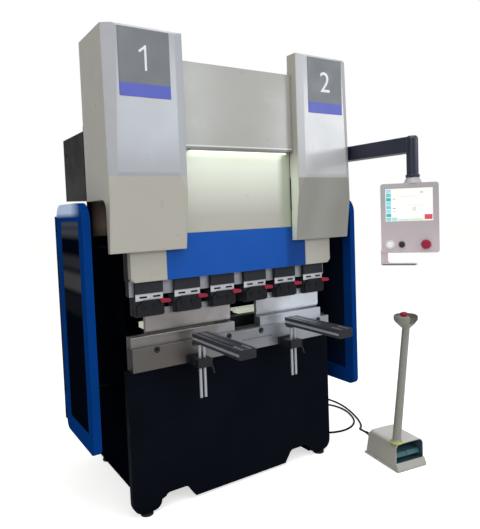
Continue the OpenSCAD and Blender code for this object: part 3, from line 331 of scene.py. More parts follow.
def addRing(profile, sides):  # a lathe ring on the Z axis, from (radius, height) steps in millimetres
    startFresh()
    steps = [mm(*step) for step in profile + profile[:1]]
    bpy.ops.mesh.primitive_circle_add(vertices=sides, radius=steps[0][0], location=(0, 0, steps[0][1]),
                                      fill_type="NOTHING")
    piece = bpy.context.object
    bpy.ops.object.transform_apply(location=True, rotation=True, scale=True)
    bpy.ops.object.mode_set(mode="EDIT")
    bpy.ops.mesh.select_mode(type="VERT")
    bpy.ops.mesh.select_all(action="SELECT")
    for before, step in zip(steps, steps[1:]):
        bpy.ops.mesh.extrude_region_move(TRANSFORM_OT_translate={"value": (0, 0, step[1] - before[1])})
        grow = step[0] / before[0]
        bpy.ops.transform.resize(value=(grow, grow, 1), center_override=(0, 0, step[1]))
    bpy.ops.object.mode_set(mode="OBJECT")
    return piece


weldDistance = 0.00002
smoothBelow = math.radians(35)  # edges flatter than this are shaded smooth


def placed(piece, matrix=None):  # leaves edit mode and puts the place into the mesh
    startFresh()
    piece.select_set(True)
    bpy.context.view_layer.objects.active = piece
    bpy.ops.object.transform_apply(location=True, rotation=True, scale=True)
    if matrix is not None:
        piece.data.transform(matrix)
    bpy.ops.object.mode_set(mode="EDIT")
    bpy.ops.mesh.select_all(action="SELECT")
    bpy.ops.mesh.remove_doubles(threshold=weldDistance)
    bpy.ops.mesh.normals_make_consistent(inside=False)
    bpy.ops.object.mode_set(mode="OBJECT")
    return piece


def copied(piece, matrix):
    twin = piece.copy()
    twin.data = piece.data.copy()
    bpy.context.scene.collection.objects.link(twin)
    twin.data.transform(matrix)
    return twin


def joined(parts):
    startFresh()
    for part in parts:
        part.select_set(True)
    bpy.context.view_layer.objects.active = parts[0]
    bpy.ops.object.join()
    return bpy.context.object


def finished(piece, name, mat, body):
    startFresh()
    piece.name = name
    piece.data.name = name
    piece.select_set(True)
    bpy.context.view_layer.objects.active = piece
    bpy.ops.object.shade_smooth_by_angle(angle=smoothBelow)
    piece.data.materials.clear()
    piece.data.materials.append(mat)
    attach(piece, body)
    return piece


def facing(place, direction):  # puts a shape made on the Z axis at a place, turned to a direction
    return Matrix.Translation(place) @ Vector(direction).to_track_quat("Z", "Y").to_matrix().to_4x4()


# pedal cable, with a strain relief at each end

cableSetup = {
    "diameter": 0.013,
    "route": [
        (842.8, -142.4, 118), (847.5, -111, 117), (859, -78, 111), (884, -40, 98), (925, 18, 74),
        (975, 72, 48), (1030, 120, 25), (1085, 170, 10), (1130, 230, 6.5), (1172, 305, 6.5),
        (1218, 412, 6.5), (1252, 520, 6.5), (1266, 620, 6.5), (1258, 712, 6.5), (1222, 790, 6.5),
        (1160, 828, 6.5), (1098, 805, 6.5), (1082, 745, 6.5), (1118, 690, 6.5), (1172, 636, 6.5),
        (1204, 555, 6.5), (1202, 454, 6.5), (1166, 352, 6.5), (1108, 262, 6.5), (1028, 206, 6.5),
        (938, 189, 6.5), (858, 208, 6.5), (795, 246, 11), (745, 276, 32), (700, 293, 60),
        (660, 299, 77), (628, 300, 80), (601.2, 300, 80)],
    "steps": 4,
}


def smoothLine(points, steps):  # a smooth run through every point
    def blend(p0, p1, p2, p3, t):
        return 0.5 * (2 * p1 + (p2 - p0) * t + (2 * p0 - 5 * p1 + 4 * p2 - p3) * t * t
                      + (3 * p1 - p0 - 3 * p2 + p3) * t * t * t)

    last = len(points) - 1
    line = [blend(points[max(i - 1, 0)], points[i], points[i + 1], points[min(i + 2, last)], k / steps)
            for i in range(last) for k in range(steps)]
    return line + [points[last]]


def makeCable(s):
    line = smoothLine([at(*p) for p in s["route"]], s["steps"])
    for p in line:  # the smoothed line stays on the floor
        p.z = max(p.z, s["diameter"] / 2)
    curve = bpy.data.curves.new("pedal_lead", "CURVE")
    curve.dimensions = "3D"
    curve.bevel_depth = s["diameter"] / 2
    curve.bevel_resolution = 4
    curve.use_fill_caps = True
    spline = curve.splines.new("POLY")
    spline.points.add(len(line) - 1)
    for point, p in zip(spline.points, line):
        point.co = (*p, 1)
    spline.use_smooth = True
    cable = bpy.data.objects.new("pedal_lead", curve)
    bpy.context.scene.collection.objects.link(cable)
    length = sum((b - a).length for a, b in zip(line, line[1:]))
    print("cable length", round(length, 3))
    return cable, length, line


cable, cableLength, cableLine = makeCable(cableSetup)
cable.data.materials.append(moulded("cableRubber", {
    "colour": "060607", "shade": "0a0a0b", "rough": 0.6, "grainScale": 500, "bump": 0.15, "specular": 0.08}))
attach(cable, "machine")
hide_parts("pedal_cable")

reliefSetup = {
    "profile": [(6.6, 0), (10.6, 0), (10.6, 5), (9.0, 6), (9.0, 8.5), (10.0, 9.5), (10.0, 12),
                (8.6, 13), (8.6, 15.5), (9.5, 16.5), (9.5, 19), (8.2, 20), (8.2, 22.5), (8.9, 23.5),
                (8.9, 26), (7.8, 27), (7.2, 34), (6.6, 34)],
    "sides": 28,
    "finish": {"colour": "151517", "shade": "1b1b1e", "rough": 0.55, "bump": 0.1, "specular": 0.25},
}
reliefRubber = moulded("reliefRubber", reliefSetup["finish"])


def makeRelief(name, place, direction):
    relief = placed(addRing(reliefSetup["profile"], reliefSetup["sides"]), facing(place, direction))
    return finished(relief, name, reliefRubber, "machine")


reliefs = [makeRelief("cable_relief_pedal", cableLine[0], cableLine[1] - cableLine[0]),
           makeRelief("cable_relief_machine", cableLine[-1], cableLine[-2] - cableLine[-1])]
print("cable laid")


# floor and light

studio = {
    "floor": "f2f1ef", "glow": 0.62,
    "key": {"place": (1.7, -5.2, 3.2), "aim": (-0.4, -0.1, 1.9), "size": (1.7, 1.4), "power": 46,
            "colour": (0.86, 0.93, 1.0)},
    "window": {"place": (5.2, -5.2, 3.2), "aim": (0.5, -0.1, 2.0), "size": (1.9, 1.4), "power": 78,
               "colour": (0.92, 0.96, 1.0)},
    "left": {"place": (-4.2, -3.2, 3.4), "aim": (0.0, 0.0, 1.2), "size": (3.0, 2.4), "power": 45,
             "colour": (1.0, 0.98, 0.95)},
    "top": {"place": (0.2, -1.0, 5.4), "aim": (0.0, 0.1, 0.8), "size": (3.6, 3.6), "power": 125,
            "colour": (1.0, 1.0, 1.0)},
    "room": 0.43,
}


def seenDirectly(tree):  # 1 for the camera's own rays and for those that pass through glass
    rays = tree.nodes.new("ShaderNodeLightPath")
    return calc(tree, "MAXIMUM", rays.outputs["Is Camera Ray"], rays.outputs["Is Transmission Ray"])


def makeFloor(s):
    startFresh()
    bpy.ops.mesh.primitive_plane_add(size=60, location=(0, 0, 0))
    floor = bpy.context.object
    floor.name = "floor"
    mat = bpy.data.materials.new("floorPaint")
    mat.use_nodes = True
    tree = mat.node_tree
    tree.nodes.clear()
    out = tree.nodes.new("ShaderNodeOutputMaterial")
    matte = tree.nodes.new("ShaderNodeBsdfDiffuse")
    matte.inputs["Color"].default_value = fromHex(s["floor"])
    glow = tree.nodes.new("ShaderNodeEmission")
    tree.links.new(calc(tree, "MULTIPLY", seenDirectly(tree), s["glow"]), glow.inputs["Strength"])
    summed = tree.nodes.new("ShaderNodeAddShader")
    tree.links.new(matte.outputs["BSDF"], summed.inputs[0])
    tree.links.new(glow.outputs["Emission"], summed.inputs[1])
    tree.links.new(summed.outputs["Shader"], out.inputs["Surface"])
    floor.data.materials.append(mat)


def makeLamp(name, s):
    data = bpy.data.lights.new(name, "AREA")
    data.shape = "RECTANGLE"
    data.size, data.size_y = s["size"]
    data.energy = s["power"]
    data.color = s["colour"]
    lamp = bpy.data.objects.new(name, data)
    bpy.context.scene.collection.objects.link(lamp)
    place = Vector(s["place"])
    lamp.matrix_world = facing(place, place - Vector(s["aim"]))


def makeRoom(strength):
    world = bpy.data.worlds.new("room")
    bpy.context.scene.world = world
    world.use_nodes = True
    tree = world.node_tree
    tree.nodes.clear()
    out = tree.nodes.new("ShaderNodeOutputWorld")
    back = tree.nodes.new("ShaderNodeBackground")
    back.inputs["Color"].default_value = (1.0, 1.0, 1.0, 1.0)
    tree.links.new(spread(tree, seenDirectly(tree), 0.0, 1.0, strength, 1.0), back.inputs["Strength"])
    tree.links.new(back.outputs["Background"], out.inputs["Surface"])


makeFloor(studio)
makeRoom(studio["room"])
for lampName in ("key", "window", "left", "top"):
    makeLamp(lampName, studio[lampName])
bpy.context.scene.view_settings.view_transform = "Standard"
print("floor and lights")

# pieces are made in millimetres on the machine, or in the frame of the box or the pedal

tubePlace = at(820, -535, 0)
boxFrame = Matrix.Translation(tubePlace) @ Matrix.Rotation(math.radians(-51), 4, "Z")
pedalFrame = Matrix.Translation(at(769, -433, 0)) @ Matrix.Rotation(math.radians(-8.5), 4, "Z")
facingFront = Matrix.Rotation(-math.pi / 2, 4, "X")  # turns a shape's Z axis towards the front


def sunkFace(piece, side, rim, depth):  # insets the widest face on one side of a block and moves it in
    bpy.ops.mesh.select_mode(type="FACE")
    bpy.ops.mesh.select_all(action="DESELECT")
    mesh = bmesh.from_edit_mesh(piece.data)
    onSide = [face for face in mesh.faces if face.normal.dot(Vector(side)) > 0.99]
    max(onSide, key=lambda face: face.calc_area()).select = True
    bmesh.update_edit_mesh(piece.data)
    bpy.ops.mesh.inset(thickness=rim, depth=0)
    bpy.ops.transform.translate(value=tuple(Vector(side) * -depth))


# column plates with their numerals

plateSetup = {
    "low": (435, -121.8, 2118), "high": (696, -120.1, 2436), "rim": 3.0, "dip": 0.5,
    "bevel": 0.0006, "bevelSteps": 2,
    "finish": {"colour": "6f7378", "shade": "696d72", "worn": "9a9da1", "rough": 0.36, "specular": 0.4,
               "edge": 0.0006, "dust": 0.03, "cloud": 4},
    "band": (2.118, 2.180, 0.0004), "bandColour": "4f59b4",
}
numeralSetup = {
    "height": 0.118, "wide": 0.011, "thick": 0.0004, "z": 2.243, "bevel": 0.0002,
    "flag": {"x": (-0.040, 0.004), "thin": 0.9, "place": (0.45, 0.6), "turn": 0.66},
    "fontScale": 1.42,
    "finish": {"colour": "e4e7ea", "shade": "dadde1", "rough": 0.4, "edge": 0.0002},
}


def plateTones(tree, spot, colour):
    band = between(tree, axes(tree, spot)[2], *plateSetup["band"])
    return mixed(tree, band, colour, plateSetup["bandColour"])


platePaint = painted("columnPlatePaint", plateSetup["finish"], plateTones)
numeralPaint = moulded("numeralPaint", numeralSetup["finish"])


def makeDigit(s, digit):  # lies flat, faces up
    thick, tall, wide = s["thick"], s["height"], s["wide"]
    if digit == "1":  # a bar and a flag, plainer than the font's own
        flagSetup = s["flag"]
        bar = addBlock((0, 0, -thick), (wide, tall, thick), s["bevel"], 1)
        thin = thick * flagSetup["thin"]
        x0, x1 = flagSetup["x"]
        flag = addBlock((x0, -wide / 2, -thin), (x1, wide / 2, thin), s["bevel"], 1)
        across, down = flagSetup["place"]
        placed(flag, Matrix.Translation((wide * across, tall - wide * down, 0))
               @ Matrix.Rotation(flagSetup["turn"], 4, "Z"))
        return joined([placed(bar), flag])
    startFresh()
    bpy.ops.object.text_add(location=(0, 0, 0))
    numeral = bpy.context.object
    numeral.data.body = digit
    numeral.data.size = tall * s["fontScale"]
    numeral.data.align_x = "CENTER"
    numeral.data.extrude = thick
    numeral.data.resolution_u = 6
    bpy.ops.object.convert(target="MESH")
    return bpy.context.object


def makePlate(s, side, digit):
    low, high = s["low"], s["high"]
    x = sorted((side * low[0], side * high[0]))
    plate = addBlock(mm(x[0], low[1], low[2]), mm(x[1], high[1], high[2]), s["bevel"], s["bevelSteps"])
    sunkFace(plate, (0, -1, 0), s["rim"] * unit, s["dip"] * unit)
    placed(plate, machineFrame)
    finished(plate, "column_plate_" + digit, platePaint, "machine")
    middle = at((x[0] + x[1]) / 2, low[1] + s["dip"], 0) + Vector((0, 0, numeralSetup["z"]))
    numeral = placed(makeDigit(numeralSetup, digit),
                     Matrix.Translation(middle) @ Matrix.Rotation(math.pi / 2, 4, "X"))
    finished(numeral, "column_numeral_" + digit, numeralPaint, "machine")


makePlate(plateSetup, -1, "1")
makePlate(plateSetup, 1, "2")
print("column plates")


# control box: screen, rings round the controls, a dark strip of painted shade under the shelf's front, and
# collar


screenSetup = {
    "low": (-146.6, -44.4, 1475.5), "high": (102.6, -42.0, 1655.5), "rim": 2.0, "dip": 0.4,
    "bevel": 0.0006, "bevelSteps": 2,
    "glass": {"colour": "fbfbf6", "shade": "f6f8f4", "rough": 0.12, "glow": 0.25, "edge": 0.0005,
              "bump": 0.0},
    "tiles": [  # low x, low z, high x, high z and colour
        (-143, 1479, -117, 1497, "8fe0dc"), (-143, 1500, -117, 1518, "4fb9be"),
        (-143, 1521, -117, 1541, "a5e4f2"), (-143, 1544, -117, 1562, "7fd3ea"),
        (-143, 1565, -117, 1583, "9fe0f5"), (-143, 1586, -117, 1606, "43bfb9"),
        (-143, 1609, -117, 1631, "6fd4dd"), (-143, 1634, -117, 1652, "b4d9f5"),
        (-113, 1479, -84, 1497, "b5ece2"), (-80, 1479, -22, 1488, "cdeef2"),
        (-18, 1479, 52, 1488, "d9efc9"), (58, 1483, 99, 1510, "e0566a"),
        (-108, 1545, -92, 1549, "8d9297"), (-108, 1530, -88, 1533, "b9bdc0"),
        (-108, 1596, -92, 1600, "b4b8bb"), (36, 1628, 52, 1636, "c9ccd0"),
        (-4, 1530, 16, 1552, "e6eadf"), (-40, 1560, 60, 1563, "e3e8e6"),
        (-70, 1610, 20, 1613, "e3e8e6")],
    "tile": {"front": 0.25, "back": 0.2, "bevel": 0.0001},
    "shape": {"rough": 0.25, "glow": 0.15, "edge": 0.0002, "bump": 0.0},
}


def makeScreen(s):
    glass = addBlock(mm(*s["low"]), mm(*s["high"]), s["bevel"], s["bevelSteps"])
    sunkFace(glass, (0, -1, 0), s["rim"] * unit, s["dip"] * unit)
    placed(glass, boxFrame)
    finished(glass, "screen_glass", moulded("screenGlass", s["glass"]), "pendant_box")
    face = s["low"][1] + s["dip"]
    front, back = face - s["tile"]["front"], face + s["tile"]["back"]
    byColour = {}
    for x0, z0, x1, z1, code in s["tiles"]:
        tile = addBlock(mm(x0, front, z0), mm(x1, back, z1), s["tile"]["bevel"], 1)
        byColour.setdefault(code, []).append(placed(tile, boxFrame))
    for i, (code, tiles) in enumerate(byColour.items(), 1):
        shapes = joined(tiles) if len(tiles) > 1 else tiles[0]
        shade = moulded("screenShade%d" % i, dict(s["shape"], colour=code, shade=code))
        finished(shapes, "screen_shapes_%d" % i, shade, "pendant_box")


ringSetup = {
    "start": {"x": -126, "profile": [(19.2, 0.4), (21.5, -1.2), (23.6, -1.2), (24.4, 0.4)],
              "slot": "button_white",
              "finish": {"colour": "f3eef0", "shade": "eae6e8", "rough": 0.25, "glow": 0.12}},
    "selector": {"x": -63, "profile": [(15.4, 0.4), (16.2, -1.6), (18.0, -1.6), (19.0, 0.4)],
                 "slot": "button_black",
                 "finish": {"colour": "7d7a80", "shade": "6f6c72", "rough": 0.3}},
    "stop": {"x": 64, "profile": [(12.0, 0.4), (13.0, -2.0), (26.5, -2.0), (28.5, 0.4)],
             "slot": "pendant_grey",
             "finish": {"colour": "b3a3a8", "shade": "a8999e", "rough": 0.35}},
}
controlRow = {"y": -45, "z": 1346, "sides": 40}


def makeRings(setups):
    for name, s in setups.items():
        place = Matrix.Translation(mm(s["x"], controlRow["y"], controlRow["z"]))
        ring = placed(addRing(s["profile"], controlRow["sides"]), boxFrame @ place @ facingFront)
        finished(ring, name + "_ring", moulded(name + "RingShell", s["finish"]), "pendant_box")


# a dark strip under the shelf's front edge: painted shade
shelfSetup = {
    "low": (-171, -42.5, 1229.6), "high": (8, -35, 1235), "rim": 1.5, "dip": 1.2,
    "bevel": 0.0008, "bevelSteps": 2,
    "finish": {"colour": "3b3b3d", "shade": "454547", "rough": 0.5, "edge": 0.0006},
}


def makeShelfShade(s):
    strip = addBlock(mm(*s["low"]), mm(*s["high"]), s["bevel"], s["bevelSteps"])
    sunkFace(strip, (0, 0, -1), s["rim"] * unit, s["dip"] * unit)
    placed(strip, boxFrame)
    finished(strip, "shelf_shade_strip", moulded("shelfShadeDark", s["finish"]), "pendant_box")


collarSetup = {
    "profile": [(32.2, 1716.5), (37, 1716.5), (38.2, 1718), (38.2, 1728), (36.6, 1730), (32.2, 1730)],
    "sides": 48,
    "finish": {"colour": "23252c", "shade": "2b2d35", "rough": 0.35},
}


def makeCollar(s):
    collar = placed(addRing(s["profile"], s["sides"]), Matrix.Translation(tubePlace))
    finished(collar, "tube_collar", moulded("collarBlack", s["finish"]), "pendant_beam")


makeScreen(screenSetup)
makeRings(ringSetup)
makeShelfShade(shelfSetup)
makeCollar(collarSetup)
print("control box details")


# bed: black rings round its screws, and a row of small holes drawn as black rings of painted shade

capSetup = {
    "xs": [-517.7, -301, -84.3, 132.3, 349, 565.7], "z": 871, "sides": 32,
    "profile": [(10.2, 0.5), (10.8, -0.4), (15.5, -0.8), (17.2, -0.2), (17.2, 0.5)],
    "finish": {"colour": "17171a", "shade": "202023", "worn": "5a5a5e", "rough": 0.5, "specular": 0.2,
               "edge": 0.0005},
}
# the small holes are black sunk rings: painted shade in the holes
holeSetup = {
    "xs": [10 + 16.3 * i for i in range(13)], "z": 833, "sides": 14,
    "profile": [(4.6, 0.3), (4.4, -0.3), (2.4, -0.3), (2.2, 0.3)],
}
capAndHoleShade = painted("capBlackAndHoleShade", capSetup["finish"])


def makeBedRow(name, s):
    first = placed(addRing(s["profile"], s["sides"]), facingFront)
    rest = [copied(first, Matrix.Translation(at(x, 0, s["z"]))) for x in s["xs"][1:]]
    first.data.transform(Matrix.Translation(at(s["xs"][0], 0, s["z"])))
    finished(joined([first] + rest), name, capAndHoleShade, "machine")


makeBedRow("bed_screw_rings", capSetup)
makeBedRow("bed_hole_shade_row", holeSetup)
print("bed details")


# support arms: bright strips in the side and top slots, painted highlights

stripSetup = {
    "xs": {"left": -302, "right": 302}, "rim": 1.5, "dip": 0.6, "bevel": 0.0006, "bevelSteps": 2,
    "strips": [  # low corner, high corner and the side that is sunk
        ((-46.0, -514, 909), (-40, -66, 921), (-1, 0, 0)),
        ((-26, -508, 934.6), (-19, -436, 939.6), (0, 0, 1)),
        ((19, -508, 934.6), (26, -436, 939.6), (0, 0, 1))],
    "finish": {"colour": "d3d6dc", "shade": "c2c5cc", "dull": "a5a8ae", "edgeColour": "f0f1f4",
               "lines": (12, 1, 12), "rough": 0.3, "metallic": 0.6, "edge": 0.0004},
}
# the strips are painted highlights along the slots
slotHighlight = steel("slotHighlight", stripSetup["finish"])


def makeStrips(s):
    for name, x in s["xs"].items():
        strips = []
        for low, high, side in s["strips"]:
            strip = addBlock(mm(*low), mm(*high), s["bevel"], s["bevelSteps"])
            sunkFace(strip, side, s["rim"] * unit, s["dip"] * unit)
            strips.append(placed(strip, Matrix.Translation(at(x, 0, 0))))
        finished(joined(strips), "arm_slot_highlights_" + name, slotHighlight, "support_arm_" + name)


makeStrips(stripSetup)
print("arm strips")


# pedal: rings at the post's foot and under the mushroom

postSetup = {"foot": (36, 52), "base": 162, "head": 838, "lean": 7.5, "cupBack": 12}
postHeight = postSetup["head"] - postSetup["base"]
headX = postSetup["foot"][0] + postHeight * math.tan(math.radians(postSetup["lean"]))
pedalRings = {
    "foot": {"centre": postSetup["foot"],
             "profile": [(33.2, 161.6), (36.2, 161.6), (36.6, 163.4), (35.4, 167.2), (31.6, 168.4)],
             "slot": "pedal_cast",
             "finish": {"colour": "c9d838", "shade": "bccb30", "rough": 0.45}},
    "cup": {"centre": (headX - postSetup["cupBack"], postSetup["foot"][1]),
            "profile": [(11.3, 902), (26.6, 902), (27.2, 905), (26.0, 907), (11.3, 907)],
            "slot": "stop_red",
            "finish": {"colour": "d8c437", "shade": "c9b52e", "rough": 0.4}},
}
pedalRingSides = 40


def makePedalRings(setups):
    for name, s in setups.items():
        ring = placed(addRing(s["profile"], pedalRingSides),
                      pedalFrame @ Matrix.Translation(mm(*s["centre"], 0)))
        shell = moulded("pedalYellow" + name, s["finish"])
        finished(ring, "pedal_%s_ring" % name, shell, "machine")


makePedalRings(pedalRings)
print("pedal rings")


# ram: a dark strip at each edge of its upper sheet, painted shade filling the gap beside the column

gapShadeSetup = {
    "x": (355.0, 357.3), "y": (-36, -24), "z": (1557, 1748), "bevel": 0.0004, "bevelSteps": 2,
    "finish": {"colour": "0f0f10", "shade": "151516", "rough": 0.7, "bump": 0.1, "specular": 0.1},
}
gapShadeDark = moulded("gapShadeDark", gapShadeSetup["finish"])


def makeGapShade(s, name, side):
    x = sorted((side * s["x"][0], side * s["x"][1]))
    low, high = zip(x, s["y"], s["z"])
    strip = placed(addBlock(mm(*low), mm(*high), s["bevel"], s["bevelSteps"]), machineFrame)
    finished(strip, name, gapShadeDark, "ram")


makeGapShade(gapShadeSetup, "ram_gap_shade_left", -1)
makeGapShade(gapShadeSetup, "ram_gap_shade_right", 1)
print("ram lips")


# finishes of the frame's nodes

navyPaint = {"colour": "060a13", "shade": "090e17", "worn": "2a2f39", "rough": 0.55, "specular": 0.03,
             "dust": 0.03, "wear": 0.4, "edge": 0.003}
beigePaint = {"colour": "b3b0a6", "shade": "b1aea3", "worn": "cbc8bf", "rough": 0.34, "specular": 0.45,
              "dust": 0.05, "wear": 0.4, "edge": 0.009, "cloud": 1.2, "coat": 0.55}
ramBluePaint = {"colour": "1253ad", "shade": "1150a6", "worn": "3f79c6", "rough": 0.4, "specular": 0.15,
                "dust": 0.04, "wear": 0.3, "edge": 0.003}
cabinetPaint = {"colour": "17171a", "shade": "1d1d20", "worn": "4a4a4e", "rough": 0.55, "specular": 0.2,
                "dust": 0.2, "wear": 0.4, "peel": 0.35, "peelScale": 420}
blackPaint = {"colour": "191b20", "shade": "202228", "worn": "4d4f55", "rough": 0.46, "specular": 0.3,
              "dust": 0.14, "wear": 0.5, "edge": 0.0015}
pendantNavy = {"colour": "181d33", "shade": "1e243c", "worn": "8c93a3", "rough": 0.34, "specular": 0.5,
               "dust": 0.08, "wear": 0.35, "edge": 0.004}
pendantShell = {"colour": "bcb6b9", "shade": "b2adb0", "worn": "dcd7d8", "rough": 0.38, "specular": 0.4,
                "dust": 0.08, "wear": 0.5, "edge": 0.003, "metallic": 0.1}
castCream = {"colour": "b3b1a8", "shade": "a9a79e", "worn": "d9d6cc", "rough": 0.4, "specular": 0.45,
             "dust": 0.2, "wear": 0.5, "edge": 0.003, "peel": 0.4, "peelScale": 240}

# the bright colours of bed, tool and die steel paint a reflection on their right-hand ends
bedSteel = {"colour": "6f6a67", "shade": "635e5c", "dull": "544f4d", "edgeColour": "c9c9cc",
            "lines": (1, 12, 12), "bright": "a3a8b0", "from": -0.45, "to": 0.35, "rough": 0.42}
toolSteel = {"colour": "a8a2a1", "shade": "989291", "dull": "7f7978", "edgeColour": "dfe1e6",
             "lines": (1, 14, 14), "bright": "e9eff9", "from": -0.25, "to": 0.30, "rough": 0.36, "stain": 0.3}
slideSteel = {"colour": "a7abb1", "shade": "999da4", "dull": "7f8287", "edgeColour": "d5d7db",
              "lines": (12, 12, 1), "rough": 0.3}
ramSteel = {"colour": "abacb3", "shade": "9d9ea4", "dull": "858380", "edgeColour": "cfd0d2",
            "lines": (1, 12, 12), "rough": 0.45, "metallic": 0.6}
aluminium = {"colour": "b9bcc1", "shade": "adb0b6", "dull": "94979c", "edgeColour": "e2e4e8",
             "lines": (1, 1, 10), "rough": 0.32}
darkSteel = {"colour": "2b2c30", "shade": "35363b", "dull": "1d1e21", "edgeColour": "6b6c70",
             "lines": (6, 6, 1), "rough": 0.45, "metallic": 0.6}


# each piece's own tones, many of them painted light and shade: heights and depths are metres in the frame,
# pairs run from none of a tone to all of it


def fading(*fades):  # a finish that turns to other colours along an axis, by an amount
    def tones(tree, spot, colour):
        for axis, low, high, code, amount in fades:
            part = spread(tree, axes(tree, spot)["XYZ".index(axis)], low, high, 0.0, amount)
            colour = mixed(tree, part, colour, code)
        return colour

    return tones


sheetFades = [("Z", 1.54, 1.80, "e4eadb", 1.0),  # lit above
              ("X", 0.185, 0.225, "98a08c", 0.75)]  # painted shade at the right, by the column
blueFades = [("X", 0.225, 0.255, "0a2f6e", 0.6)]  # painted shadow of the right column
# the cabinet lighter towards the top: painted light
cabinetFades = [("Z", 1.83, 1.72, "3c3b3e", 0.8)]
boxFades = [("Z", 1.60, 1.30, "d6c9cd", 1.0)]  # a little lighter and pinker at the foot

clampTone = {"front": (-0.45, -0.55), "band": (1.1290, 1.1640), "bright": "d2d4da",
             "slots": (1.1400, 1.1510), "slotDepth": (0.010, 0.0105), "dark": "0c0c0e"}


def clampTones(tree, spot, colour):  # a bright band below the dark block, with painted shade in the slots
    s = clampTone
    y, z = axes(tree, spot)[1:]
    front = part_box("clamp_bodies")[0][1]
    band = both(tree, looking(tree, "Y", *s["front"]), between(tree, z, *s["band"]))
    deep = spread(tree, y, *[front + depth for depth in s["slotDepth"]])
    slots = both(tree, deep, between(tree, z, *s["slots"]))
    return mixed(tree, slots, mixed(tree, band, colour, s["bright"]), s["dark"])


ramTone = {"end": (-0.45, -0.55), "black": "1b1c20"}


def ramTones(tree, spot, colour):  # the ram's left end faces are painted dark: painted shade
    return mixed(tree, looking(tree, "X", *ramTone["end"]), colour, ramTone["black"])


def pedalSpot(tree, spot):  # the place as the pedal's own axes see it
    node = tree.nodes.new("ShaderNodeMapping")
    back = pedalFrame.inverted()
    node.inputs["Rotation"].default_value = back.to_euler()
    node.inputs["Location"].default_value = back.to_translation()
    tree.links.new(spot, node.inputs["Vector"])
    return node.outputs["Vector"]


pedalTone = {"inside": [(0.0095, 0.2085), (0.0225, 0.306), (0.0355, 0.1575)], "roof": (0.101, 0.100),
             "floor": (0.32, 0.30), "teal": "3a5860", "post": (0.170, 0.185), "postColour": "8d8c84",
             "up": (0.6, 0.9), "hoodEnd": (0.170, 0.165), "topLight": "d9d7d2"}


def pedalTones(tree, spot, colour):  # dark teal inside the hood, painted light on the top faces, a greyer post
    s = pedalTone
    place = axes(tree, pedalSpot(tree, spot))
    inside = both(tree, *[between(tree, value, *limits) for value, limits in zip(place, s["inside"])])
    turnedIn = calc(tree, "MAXIMUM", spread(tree, place[2], *s["roof"]), looking(tree, "Z", *s["floor"]))
    top = both(tree, looking(tree, "Z", *s["up"]), spread(tree, place[2], *s["hoodEnd"]))
    colour = mixed(tree, spread(tree, place[2], *s["post"]), colour, s["postColour"])
    colour = mixed(tree, top, colour, s["topLight"])
    return mixed(tree, both(tree, inside, turnedIn), colour, s["teal"])


armTone = {"rods": (-0.1958, -0.1782), "rodsShadeFrom": (0.8832, 0.8828), "bright": "b4b7bd",
           "front": (-0.85, -0.95), "dark": "24262b"}


def armTones(tree, spot, colour):  # bright lift rods, left dark just under the arm as painted shade; a dark front end
    s = armTone
    y, z = axes(tree, spot)[1:]
    rods = both(tree, between(tree, y, *s["rods"]), spread(tree, z, *s["rodsShadeFrom"]))
    return mixed(tree, rods, mixed(tree, looking(tree, "Y", *s["front"]), colour, s["dark"]), s["bright"])


frameTone = {"left": (-0.9, -0.95), "dark": "04060d", "gloss": (0.03, 0.0), "sheen": "6a5d52",
             "above": (1.37, 1.50), "below": (1.80, 1.52), "depth": (0.69, 0.46)}


def frameTones(tree, spot, colour):  # the left side is in the dark, with a faint brown sheen high up
    s = frameTone
    y, z = axes(tree, spot)[1:]
    left = looking(tree, "X", *s["left"])
    tree.links.new(spread(tree, left, 0.0, 1.0, *s["gloss"]), shaderOf(tree).inputs["Specular IOR Level"])
    high = both(tree, spread(tree, z, *s["above"]), spread(tree, z, *s["below"]))
    sheen = both(tree, high, spread(tree, y, *s["depth"]), left)
    return mixed(tree, sheen, mixed(tree, left, colour, s["dark"]), s["sheen"])


coverTone = {"right": (0.1, 0.2), "front": (-0.55, -0.65),
             "upper": (1.743, 1.749), "coolLeft": "a4a7ad", "coolRight": "b8b8ba",
             "lower": (1.748, 1.742), "lowRight": "94938d",
             "inner": (-0.9, -0.98), "lit": (1.90, 1.74), "litDepth": (-0.23, -0.137, 0.85, 1.0),
             "light": "eef6e4"}


def coverTones(tree, spot, colour):  # a painted cool reflection on the upper fronts, painted shade on the lower right, inner sides in the work light
    s = coverTone
    x, y, z = axes(tree, spot)
    right = spread(tree, x, *s["right"])
    front = looking(tree, "Y", *s["front"])
    cool = mixed(tree, right, s["coolLeft"], s["coolRight"])
    colour = mixed(tree, both(tree, front, spread(tree, z, *s["upper"])), colour, cool)
    colour = mixed(tree, both(tree, right, spread(tree, z, *s["lower"]), front), colour, s["lowRight"])
    side = calc(tree, "SIGN", calc(tree, "SUBTRACT", x, machineShift.x))
    inward = both(tree, axes(tree, faceNormal(tree))[0], side)
    high = both(tree, spread(tree, z, *s["lit"]), spread(tree, y, *s["litDepth"]))
    lit = both(tree, spread(tree, inward, *s["inner"]), high)
    return mixed(tree, lit, colour, s["light"])


lipTone = {"edge": (1.9065, 1.9130, 0.002), "bright": "d4d4d2", "under": (1.9065, 1.9045), "dark": "6f6f68"}


def lipTones(tree, spot, colour):  # the cover's lower edge: a painted highlight above and painted shade underneath
    s = lipTone
    z = axes(tree, spot)[2]
    colour = mixed(tree, between(tree, z, *s["edge"]), colour, s["bright"])
    return mixed(tree, spread(tree, z, *s["under"]), colour, s["dark"])


guardTone = {"flat": (0.9, 0.95), "pane": (0.8600, 0.8695, 0.0002), "rail": (1.560, 1.585),
             "railDepth": (-0.10, 0.06), "railHighlight": "cbe0ff", "right": (0.1, 0.2), "left": (-0.5, -0.6),
             "leftGlass": "060912", "rightGlass": "131c2b", "low": (0.66, 0.50), "lowGlass": "14244c",
             "bandEdge": 0.016,
             "bands": [(1.510, 1.556, "4e5160"), (1.465, 1.510, "494c55"), (1.305, 1.370, "303338"),
                       (1.195, 1.285, "48484c"), (1.075, 1.180, "191a20")]}


